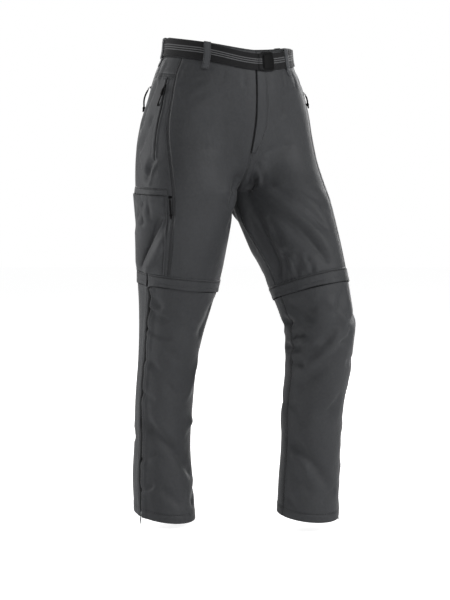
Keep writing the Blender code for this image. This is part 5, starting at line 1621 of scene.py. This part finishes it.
def makeGripPull(name):  # a moulded ribbed grip with a tail
    start, length, lie, axis = pullFrame(name)
    up = np.cross(axis, lie)
    t = np.linspace(0, 1, 110)
    at = t * length
    shape = gripShape["start"] + tuple((length + back, radius) for back, radius in gripShape["end"])
    grip = np.interp(at, *zip(*shape))
    ribs = 1 - 0.10 * (np.sin(at * 5200) > 0.2) * ((at > 0.0065) & (at < 0.0165))
    bow = 0.0011 * np.sin(math.pi * np.clip((t - 0.45) / 0.55, 0, 1))
    body = tube(start + lie * at[:, None] + up * bow[:, None], grip * ribs, 16, 0.85)
    verts, faces = joinShapes([wireRing(start, *pullCut["eye"], lie, up, 20), body])
    return outwardFaces(name, verts, faces, plastic)


def makeTabPull(name):  # a flat metal tab with a hole, hung on a small wire ring
    start, axis = (np.array(v) for v in hinges[name])
    lie = np.array([0, 0, -1.0])
    up = np.cross(axis, lie)
    width, length, thick = tabCut["size"]
    corners = tabCut["corners"]
    angle = np.linspace(0, 2 * math.pi, corners, endpoint=False)
    x, y = squarish(angle, 0.45, width, length - 0.002)
    x = x * (1.0 - 0.22 * (0.5 - y / length))
    outline = np.stack([x, y + length / 2 + 0.0008], -1)
    centre = np.array([0, length * tabCut["holeAt"]])
    towards = outline - centre
    reach = np.linalg.norm(towards, axis=1, keepdims=True)
    loopsAround = [
        (centre + towards * (1 - inset / reach), z)
        for z, inset in ((-0.5, 0.0002), (-0.3, 0.0), (0.3, 0.0), (0.5, 0.0002))
    ]
    hole = centre + towards / reach * tabCut["hole"]
    loopsAround += [(hole, 0.5), (hole, -0.5)]
    verts = np.concatenate([np.concatenate([rim, np.full((corners, 1), z * thick)], 1) for rim, z in loopsAround])
    verts = start + verts[:, :1] * axis + verts[:, 1:2] * lie + verts[:, 2:] * up
    tab = verts, ringFaces(len(loopsAround), corners, closed=True)
    verts, faces = joinShapes([tab, wireRing(start, *pullCut["ring"], lie, up, 22)])
    return outwardFaces(name, verts, faces, metal)


tapeTop, coverTop = 0.0012, 0.0008  # how far sliders stand out from the cloth
hipAt = float(along(hipZip["line"], hipZip["slider"]))
for side in sides:
    name = "hip_slider_" + side
    pieces[name] = makeSlider(name, side, hipAt, hipZip["slider"], tapeTop, plastic)
    name = "side_slider_" + side
    pieces[name] = makeSlider(name, side, lowerCut["sliderAt"], hem[side] - lowerCut["sliderUp"], coverTop, metal)
    name = "side_pull_" + side
    pieces[name] = makeTabPull(name)
for name, around, drop, out in (
    ("back_slider_right", backZip["slider"], backZip["drop"], tapeTop),
    ("cargo_slider", cargo["slider"], cargo["top"] + 0.002, coverTop),
):
    pieces[name] = makeSlider(name, "right", around, drop, out, plastic, lengthwise=False)
pieces["hip_pull_right"] = makeGripPull("hip_pull_right")
pieces["hip_pull_left"] = makeCordPull("hip_pull_left")
pieces["back_pull_right"] = makeCordPull("back_pull_right", 0.0040)
pieces["cargo_pull"] = makeCordPull("cargo_pull", 0.0008, 0.00045)
print("sliders and pulls made")


# Each piece rides on its body, and the imported part it stands for is hidden

bodyOf = {node: body for body, members in frame["record"]["behaviour"]["bodies"].items() for node in members}
for name, piece in pieces.items():
    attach(piece, bodyOf[name])
    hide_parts(name)
    kind = "belt_loop" if name.startswith("belt_loop") else name.removesuffix("_right").removesuffix("_left")
for piece, finishSlot in extras:
    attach(piece, "garment")
print("pieces ride on their bodies:", len(pieces) + len(extras))


# Stage: pale floor, soft light, camera

stageSet = {
    "floor": -1.078, "radii": (1.0, 3.0, 14.0), "corners": 96,
    "colours": ((0.92, 0.92, 0.925, 1), (0.94, 0.94, 0.94, 1)),
    "floorSeen": 0.80, "floorGlow": 0.05,  # emission as the camera sees the floor, and as the cloth is lit by it
    "domeSeen": 1.0, "domeGlow": 0.20,
}
photo = {"turn": -30, "height": -0.31, "distance": 4.5, "lens": 121.08, "sensor": 36.0, "aim": (-0.00669, -0.571)}


def seenOr(tree, seen, glow):  # one strength as the camera sees it and another for the light it gives
    path = tree.nodes.new("ShaderNodeLightPath")
    return maths(tree, "MULTIPLY_ADD", path.outputs["Is Camera Ray"], seen - glow, glow)


def makeStage():
    corners = stageSet["corners"]
    angle = np.linspace(0, 2 * math.pi, corners, endpoint=False)
    ring = np.stack([np.cos(angle), np.sin(angle), 0 * angle], -1)
    points = np.concatenate([[[0, 0, 0]]] + [ring * r for r in stageSet["radii"]]) + [0, 0, stageSet["floor"]]
    faces = [(0, 1 + k, 1 + (k + 1) % corners) for k in range(corners)]
    for j in range(len(stageSet["radii"]) - 1):
        a, b = 1 + j * corners, 1 + (j + 1) * corners
        faces += [(a + k, b + k, b + (k + 1) % corners, a + (k + 1) % corners) for k in range(corners)]
    made, tree, shader, places = newFinish("paleFloor", Roughness=0.9, Specular_IOR_Level=0.1)
    tree.links.new(mixColour(tree, noise(tree, places, 1.2), *stageSet["colours"]), shader.inputs["Base Color"])
    shader.inputs["Emission Color"].default_value = (1, 1, 1, 1)
    floorStrength = seenOr(tree, stageSet["floorSeen"], stageSet["floorGlow"])
    tree.links.new(floorStrength, shader.inputs["Emission Strength"])
    floor = meshPiece("floor", points, faces, made)
    bpy.context.scene.view_settings.view_transform = "Standard"
    world = bpy.data.worlds.new("studioWorld")
    world.use_nodes = True
    bpy.context.scene.world = world
    dome = world.node_tree.nodes["Background"]
    dome.inputs["Color"].default_value = (1, 1, 1, 1)
    domeStrength = seenOr(world.node_tree, stageSet["domeSeen"], stageSet["domeGlow"])
    world.node_tree.links.new(domeStrength, dome.inputs["Strength"])


def softLight(name, place, target, size, power):
    light = bpy.data.lights.new(name, "AREA")
    light.shape, light.size, light.size_y, light.energy = "RECTANGLE", size[0], size[1], power
    made = bpy.data.objects.new(name, light)
    made.location = place
    made.rotation_euler = (Vector(target) - Vector(place)).to_track_quat("-Z", "Y").to_euler()
    bpy.context.scene.collection.objects.link(made)


def makeCamera():  # at the photograph's angle, 30 degrees to the wearer's right
    turn, distance = math.radians(photo["turn"]), photo["distance"]
    right = Vector((math.cos(turn), math.sin(turn), 0))
    place = Vector((math.sin(turn) * distance, -math.cos(turn) * distance, photo["height"]))
    target = right * photo["aim"][0] + Vector((0, 0, photo["aim"][1]))
    data = bpy.data.cameras.new("photoCamera")
    data.sensor_fit, data.sensor_height, data.lens = "VERTICAL", photo["sensor"], photo["lens"]
    data.clip_end = 60
    made = bpy.data.objects.new("photoCamera", data)
    made.location = place
    made.rotation_euler = (target - place).to_track_quat("-Z", "Y").to_euler()
    bpy.context.scene.collection.objects.link(made)
    bpy.context.scene.camera = made


makeStage()
softLight("keyBox", (2.5, -3.5, 1.9), (0, 0, -0.5), (1.3, 1.6), 100)
softLight("frontFill", (-1.4, -4.2, 0.6), (0, 0, -0.5), (1.8, 2.4), 34)
softLight("leftRim", (-3.0, 2.4, 0.6), (0, 0, -0.4), (0.9, 2.4), 80)
softLight("rightRim", (3.2, 2.2, 0.6), (0, 0, -0.4), (0.9, 2.4), 55)
softLight("backBox", (0.4, 4.2, 1.6), (0, 0, -0.5), (2.0, 2.0), 55)
makeCamera()
print("stage set")
